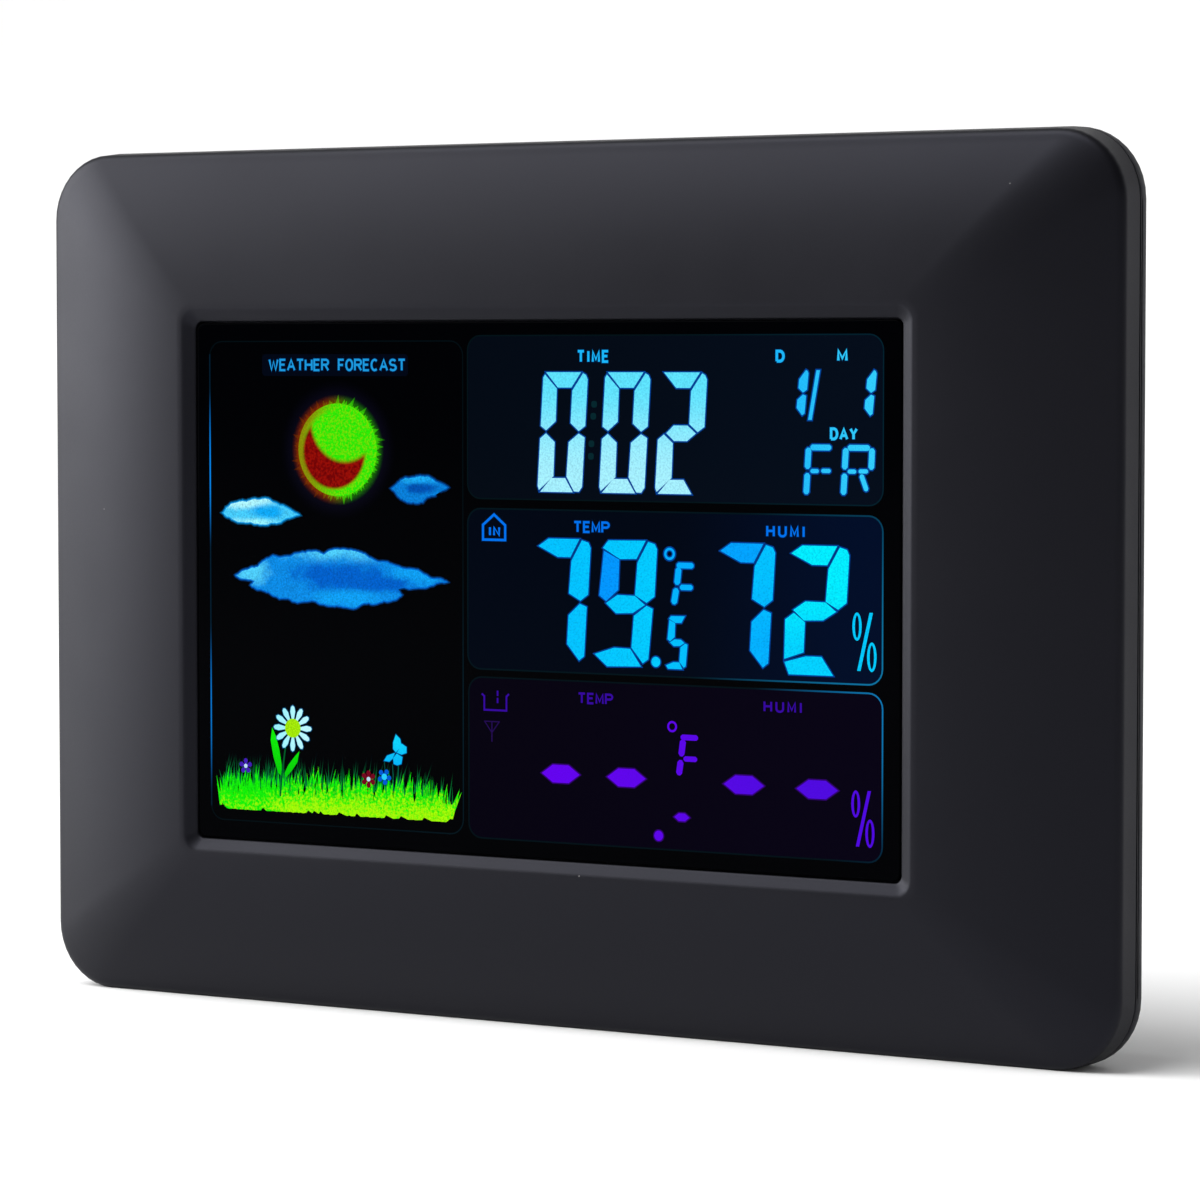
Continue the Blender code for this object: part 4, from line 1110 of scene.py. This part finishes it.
paint_copies(t, copies, tin, tout)


def scatter(name, shape_points, spots, ink, smallest, largest, sway, seed, layer):
    """Copies a flat shape, drawn round 0, 0 and growing up +Z, onto (x, z, turn) spots."""
    def fill(bm):
        bm.faces.new([bm.verts.new(Vector((x, 0, z)) * MM) for x, z in shape_points])
    one = mesh_from(name + "_shape", fill)
    base = bpy.data.meshes.new(name)
    y = PICTURE_Y - LAYER * layer
    base.from_pydata([Vector((x, y - 0.0001 * (i % 7), z)) * MM for i, (x, z, _) in enumerate(spots)], [], [])
    turns = base.attributes.new("turn", "FLOAT", "POINT")
    for i, (_, _, a) in enumerate(spots):
        turns.data[i].value = a
    made = grow(name, scatter_tree, scatter_ids, {
        "Shape": one, "Smallest": smallest, "Largest": largest, "Sway": sway, "Seed": seed,
        "Finish": ink}, base)
    bpy.data.objects.remove(one)
    return finish_piece(made, ink)


def corona_colour(tree):
    x = object_axes(tree)[1]["X"]
    side = ramp(tree, maths(tree, "SUBTRACT", x, SUN[0] * MM), -3.5 * MM, 2.5 * MM)
    fade = ramp(tree, distance_to(tree, *SUN), 6.9, 9.3, 1.0, 0.0)
    warm = mix_colour(tree, fade, (0.010, 0.0004, 0.0, 1), (0.22, 0.032, 0.0005, 1))
    fresh = mix_colour(tree, fade, (0.002, 0.012, 0.0, 1), (0.040, 0.62, 0.001, 1))
    return mix_colour(tree, side, warm, fresh)


corona_ink = make_glow("ink_corona", corona_colour, 1.2, 0.24)


def round_sun(share, count):
    """Spots round the sun at a share of its radius, each turned outward."""
    return [(SUN[0] + SUN_R[0] * share * math.sin(a), SUN[1] + SUN_R[1] * share * math.cos(a), a)
            for a in [math.tau * k / count for k in range(count)]]


scatter("sun_corona", [(-0.6, 0.0), (0.6, 0.0), (0.26, 0.85), (0.06, 2.1), (-0.04, 2.1), (-0.28, 0.85)],
        round_sun(0.95, 38), corona_ink, 0.2, 1.05, 0.3, 4, 4)
scatter("sun_fringe", [(-0.3, 0.0), (0.3, 0.0), (0.0, 1.05)], round_sun(0.97, 90), corona_ink,
        0.3, 1.0, 0.3, 9, 3)

# %% [markdown]
# ## Clouds
# A cloud starts as a few points along its outline. Splitting each side again and again, with a random
# push at every new point, turns the outline ragged like vapour. Soft patches of deeper and paler blue
# are set by distance from chosen centres, broken up by noise, and a darker, larger copy lies below.

# %% Clouds
chance = random.Random(12)


def ragged(points):
    loop, push = [Vector(p) for p in points], 0.11
    for _ in range(3):
        split = []
        for i, here in enumerate(loop):
            after = loop[(i + 1) % len(loop)]
            step = after - here
            side = Vector((-step.y, step.x))
            split += [here, here + step / 2 + side * (chance.random() - 0.42) * push * 2]
        loop = split
    return [tuple(p) for p in loop]


def cloud_ink(name, mid, zones):
    """mid is the general colour; each zone is a colour with its centre, half width and half height."""
    def colour_of(tree):
        place = object_place(tree)
        puffs = add_node(tree, "ShaderNodeTexNoise", Vector=place, Scale=420.0, Detail=4.0, Roughness=0.6)
        stir = maths(tree, "MULTIPLY", maths(tree, "SUBTRACT", puffs.outputs[0], 0.5), 1.3)
        tone = (*mid, 1)
        for colour, (x, z), half_w, half_h in zones:
            reach = maths(tree, "DIVIDE", distance_to(tree, x, z, half_h / half_w), half_h)
            near = ramp(tree, maths(tree, "ADD", reach, stir), 0.35, 1.15, 1, 0)
            tone = mix_colour(tree, near, tone, (*colour, 1))
        return tone
    return make_glow(name, colour_of, 1.1, 0.3)


def cloud(name, points, ink, dark):
    loop = ragged(points)
    faint = tuple(c * 0.22 for c in dark)
    picture(name + "_edge", [grown(loop, 0.28)], glow(name + "_edge_ink", faint, grain=0.6), 3)
    picture(name + "_body", [grown(loop, 0.08)], glow(name + "_body_ink", dark, grain=0.6), 4)
    picture(name, [grown(loop, -0.12)], ink, 5)


pale, bright, deep = (0.075, 0.60, 0.94), (0.004, 0.34, 0.88), (0.0, 0.115, 0.58)
cloud("cloud_low", [(-55.3, 68.2), (-53.6, 69.1), (-51.0, 69.7), (-49.4, 70.9), (-48.0, 71.5), (-45.6, 71.4),
                    (-43.0, 72.0), (-40.7, 72.3), (-38.4, 71.9), (-36.9, 72.6), (-34.6, 72.8), (-32.2, 72.5),
                    (-29.9, 71.6), (-27.3, 71.0), (-24.8, 70.4), (-22.2, 70.0), (-19.6, 69.2), (-17.6, 68.6),
                    (-15.4, 68.1), (-18.0, 67.5), (-21.2, 67.0), (-24.6, 66.8), (-23.8, 65.9), (-25.8, 64.9),
                    (-28.4, 64.4), (-31.5, 64.1), (-35.2, 63.8), (-38.3, 64.0), (-41.5, 64.4), (-45.2, 64.8),
                    (-48.4, 65.3), (-51.0, 66.0), (-52.4, 66.7), (-51.8, 67.3), (-54.2, 67.6)],
      cloud_ink("ink_cloud_low", (0.003, 0.25, 0.76), [
          (pale, (-36, 73.8), 13, 3.4), (pale, (-52.5, 69.0), 4.5, 2.4), (bright, (-22, 68.9), 7, 2.0),
          (deep, (-35, 68.6), 11, 2.6), (deep, (-27, 67.5), 7, 1.6), (bright, (-33.5, 65.0), 7, 1.5)]),
      (0.0, 0.13, 0.60))
cloud("cloud_left", [(-57.8, 78.0), (-57.1, 78.9), (-56.0, 79.6), (-54.6, 79.9), (-53.1, 79.9), (-51.5, 80.4),
                     (-49.6, 80.5), (-48.0, 79.9), (-46.7, 79.4), (-45.1, 79.0), (-43.8, 78.3), (-42.9, 77.9),
                     (-44.6, 77.4), (-45.9, 77.0), (-48.3, 76.5), (-51.0, 76.3), (-53.7, 76.5), (-55.8, 76.9),
                     (-57.1, 77.4)],
      cloud_ink("ink_cloud_left", (0.06, 0.58, 0.93), [
          ((0.42, 0.90, 0.97), (-53.5, 80.0), 6, 1.5), ((0.30, 0.86, 0.97), (-51.5, 76.6), 5.5, 0.9),
          ((0.004, 0.38, 0.88), (-49.0, 78.3), 4.2, 1.3)]), (0.002, 0.28, 0.72))
cloud("cloud_right", [(-25.8, 82.3), (-24.7, 83.1), (-24.0, 83.7), (-22.4, 84.0), (-20.4, 84.4), (-18.6, 84.2),
                      (-17.6, 83.6), (-16.3, 83.2), (-15.2, 82.6), (-16.6, 82.0), (-17.8, 81.9), (-17.6, 81.3),
                      (-19.1, 81.0), (-19.9, 80.2), (-21.7, 80.2), (-23.7, 80.6), (-24.8, 81.4)],
      cloud_ink("ink_cloud_right", (0.002, 0.20, 0.66), [
          ((0.010, 0.38, 0.86), (-21.5, 84.4), 6, 1.5), ((0.0, 0.08, 0.42), (-20.2, 82.3), 3.4, 1.0)]),
      (0.0, 0.09, 0.42))

# %% [markdown]
# ## Meadow
# Grass is a few hundred blades in rows, each with its own height and lean, over a solid foot with a
# ragged lower edge. Its ink is streaked along the blades, greener at the left and at the tips. Thin
# dark blades stand behind. The daisy and small flowers are petals on a circle from the same tree; the
# stem, leaves and butterfly are drawn one by one.


# %% Grass
def grass_colour(tree):
    place, axes = object_axes(tree)
    streaks = add_node(tree, "ShaderNodeMapping", Vector=place, Scale=(1900.0, 0.0, 330.0))
    noise = add_node(tree, "ShaderNodeTexNoise", Vector=streaks.outputs[0], Scale=1.0, Detail=3.0,
                     Roughness=0.7)
    low = ramp(tree, axes["Z"], 30.5 * MM, 37.0 * MM, 0.62, 0.0)
    right = ramp(tree, axes["X"], -52 * MM, -42 * MM, -0.32, 0.0)
    grain = maths(tree, "MULTIPLY", maths(tree, "SUBTRACT", speckle(tree, 0.45, 0.35, 0.65), 0.5), 0.42)
    patch = maths(tree, "ADD", maths(tree, "SUBTRACT", noise.outputs[0], 0.48), grain)
    gold = maths(tree, "ADD", maths(tree, "ADD", low, right), patch)
    tone = mix_colour(tree, ramp(tree, gold, 0.08, 0.66), (0.006, 0.87, 0.001, 1), (0.36, 0.92, 0.001, 1))
    shadow = maths(tree, "MULTIPLY", ramp(tree, noise.outputs[0], 0.36, 0.50, 1, 0),
                   ramp(tree, axes["Z"], 32.5 * MM, 36.5 * MM, 0.0, 0.9))
    return mix_colour(tree, shadow, tone, (0.0, 0.16, 0.01, 1))


def ground_edges(x):
    """How far the meadow's top is let down near its two ends."""
    return max(0.0, (-57.4 - x) * 0.6) + max(0.0, (x + 18.5) * 0.62)


grass_ink = make_glow("ink_grass", grass_colour, 1.0, 0.24)
blade = [(-0.24, 0.0), (0.24, 0.0), (0.20, 2.2), (0.04, 4.6), (-0.14, 2.2)]
rows = []
for row, count in ((0, 130), (1, 150), (2, 110)):
    for k in range(count):
        x = -58.3 + 43.6 * (k + chance.random()) / count
        rows.append((x, max(31.7, 31.9 + 0.75 * row + 0.4 * chance.random() - ground_edges(x)),
                     (chance.random() - 0.5) * 0.5 + (x + 38) * 0.004))
scatter("meadow_grass", blade, rows, grass_ink, 0.5, 1.12, 0.16, 3, 5)
foot = [(-58.4, 33.4), (-58.2, 32.2), (-57.4, 31.45)]
x = -57.0
while x < -16.2:
    foot += [(x, 31.15 + 0.12 * chance.random()), (x + 0.35, 31.15 + 0.5 * (chance.random() > 0.9))]
    x += 0.7 + chance.random()
foot += [(-15.7, 31.15), (-14.7, 31.9), (-14.35, 33.0), (-14.5, 33.9)]
picture("meadow_foot", [foot], grass_ink, 5)


def far_colour(tree):
    height = object_axes(tree)[1]["Z"]
    return mix_colour(tree, ramp(tree, height, 35.5 * MM, 40.5 * MM), (0.0, 0.20, 0.035, 1),
                      (0.0, 0.006, 0.012, 1))


far_ink = make_glow("ink_far_grass", far_colour, 0.8)
far = []
for _ in range(170):
    x = -58.3 + 43.8 * chance.random()
    far.append((x, 34.6 + chance.random() - ground_edges(x), (chance.random() - 0.5) * 0.45))
scatter("meadow_far_blades", [(-0.13, 0), (0.13, 0), (0.02, 5.2)], far, far_ink, 0.45, 1.1, 0.2, 9, 3)


# %% Flowers
def petals(name, cx, cz, inner, length, width, count, ink, layer, start=0.0):
    shape = [(-0.2 * width, 0), (0.2 * width, 0), (0.5 * width, length * 0.58), (0.34 * width, length * 0.9),
             (0, length), (-0.34 * width, length * 0.9), (-0.5 * width, length * 0.58)]
    spots = []
    for k in range(count):
        a = math.tau * k / count + start
        spots.append((cx + inner * math.sin(a), cz + inner * math.cos(a), a))
    return scatter(name, shape, spots, ink, 0.95, 1.04, 0.03, 1, layer)


leaf_ink = glow("ink_leaf", (0.002, 0.60, 0.001), (0.004, 0.84, 0.001), "Z", 36, 44, 0.5)
picture("daisy_stem", [[(-46.95, 33.6), (-46.65, 33.6), (-46.25, 37.3), (-45.6, 41.6), (-45.85, 41.6),
                        (-46.6, 37.3)]],
        glow("ink_stem", (0.0, 0.10, 0.02), grain=0.4), 7)
picture("daisy_leaves", [
    [(-48.3, 44.4), (-47.6, 43.1), (-46.95, 41.0), (-46.5, 38.6), (-46.5, 36.8),
     (-47.2, 37.3), (-48.1, 39.9), (-48.6, 42.4)],
    [(-43.1, 40.9), (-43.5, 39.1), (-44.6, 37.7), (-45.8, 36.5), (-45.95, 37.3), (-45.3, 38.5), (-44.2, 39.8)],
], leaf_ink, 7)
petals("daisy_spill", -44.33, 44.45, 1.25, 2.5, 1.15, 12,
       glow("spill_petal", (0.0, 0.10, 0.26), grain=0.3), 7)
petals("daisy_petals", -44.33, 44.45, 1.3, 2.3, 0.93, 12,
       glow("ink_petal", (0.34, 0.90, 0.98), (0.52, 0.95, 0.99), "X", -48, -41, 0.3), 8)
picture("daisy_middle", [dot(-44.33, 44.45, 1.5)],
        glow("ink_daisy_middle", (0.36, 0.80, 0.001), grain=1.2, cell=0.22), 9)
for name, x, z, length, width, count, colour, start in (
    ("violet", -53.4, 38.1, 0.95, 0.8, 5, (0.055, 0.012, 0.46), 0.0),
    ("red", -30.05, 37.1, 1.1, 0.85, 6, (0.17, 0.001, 0.012), 0.0),
    ("blue", -27.1, 37.6, 1.0, 0.85, 5, (0.0, 0.10, 0.66), 0.5)):
    petals(f"{name}_flower", x, z, 0.3, length, width, count,
           glow(f"ink_flower_{name}", colour, grain=0.4), 8, start)
picture("flower_hearts", [dot(-53.4, 38.1, 0.34, 14), dot(-30.05, 37.1, 0.36, 14)],
        glow("ink_flower_heart", (0.52, 0.74, 0.90), grain=0.2), 9)
picture("blue_flower_heart", [dot(-27.1, 37.6, 0.5, 14)],
        glow("ink_blue_heart", (0.02, 0.62, 0.97), grain=0.2), 9)
picture("butterfly_stalks", pen([(-27.0, 38.3), (-27.1, 39.9)], 0.1) + pen([(-25.4, 35.4), (-25.6, 39.6)], 0.12)
        + pen([(-24.6, 35.6), (-24.5, 39.6)], 0.12), glow("ink_stalk", (0.0, 0.10, 0.07), grain=0.3), 4)
wings = [
    [(-24.95, 44.25), (-24.15, 43.6), (-23.95, 42.5), (-24.95, 41.5), (-25.45, 42.0), (-25.45, 43.0)],
    [(-24.2, 42.35), (-23.9, 42.9), (-23.0, 42.4), (-23.0, 41.5), (-23.9, 41.2), (-24.75, 41.45)],
    [(-24.8, 41.3), (-23.75, 40.8), (-23.95, 39.75), (-24.7, 39.5), (-25.35, 39.7), (-25.45, 40.6)],
    [(-25.15, 41.4), (-25.55, 40.5), (-26.2, 40.0), (-27.15, 40.1), (-26.6, 40.9)]]
picture("butterfly_wings", wings,
        glow("ink_butterfly", (0.001, 0.46, 0.93), (0.004, 0.66, 0.97), "Z", 39, 44, 0.3), 8,
        glow("spill_wings", (0.0, 0.10, 0.34), grain=0.2), 0.1)
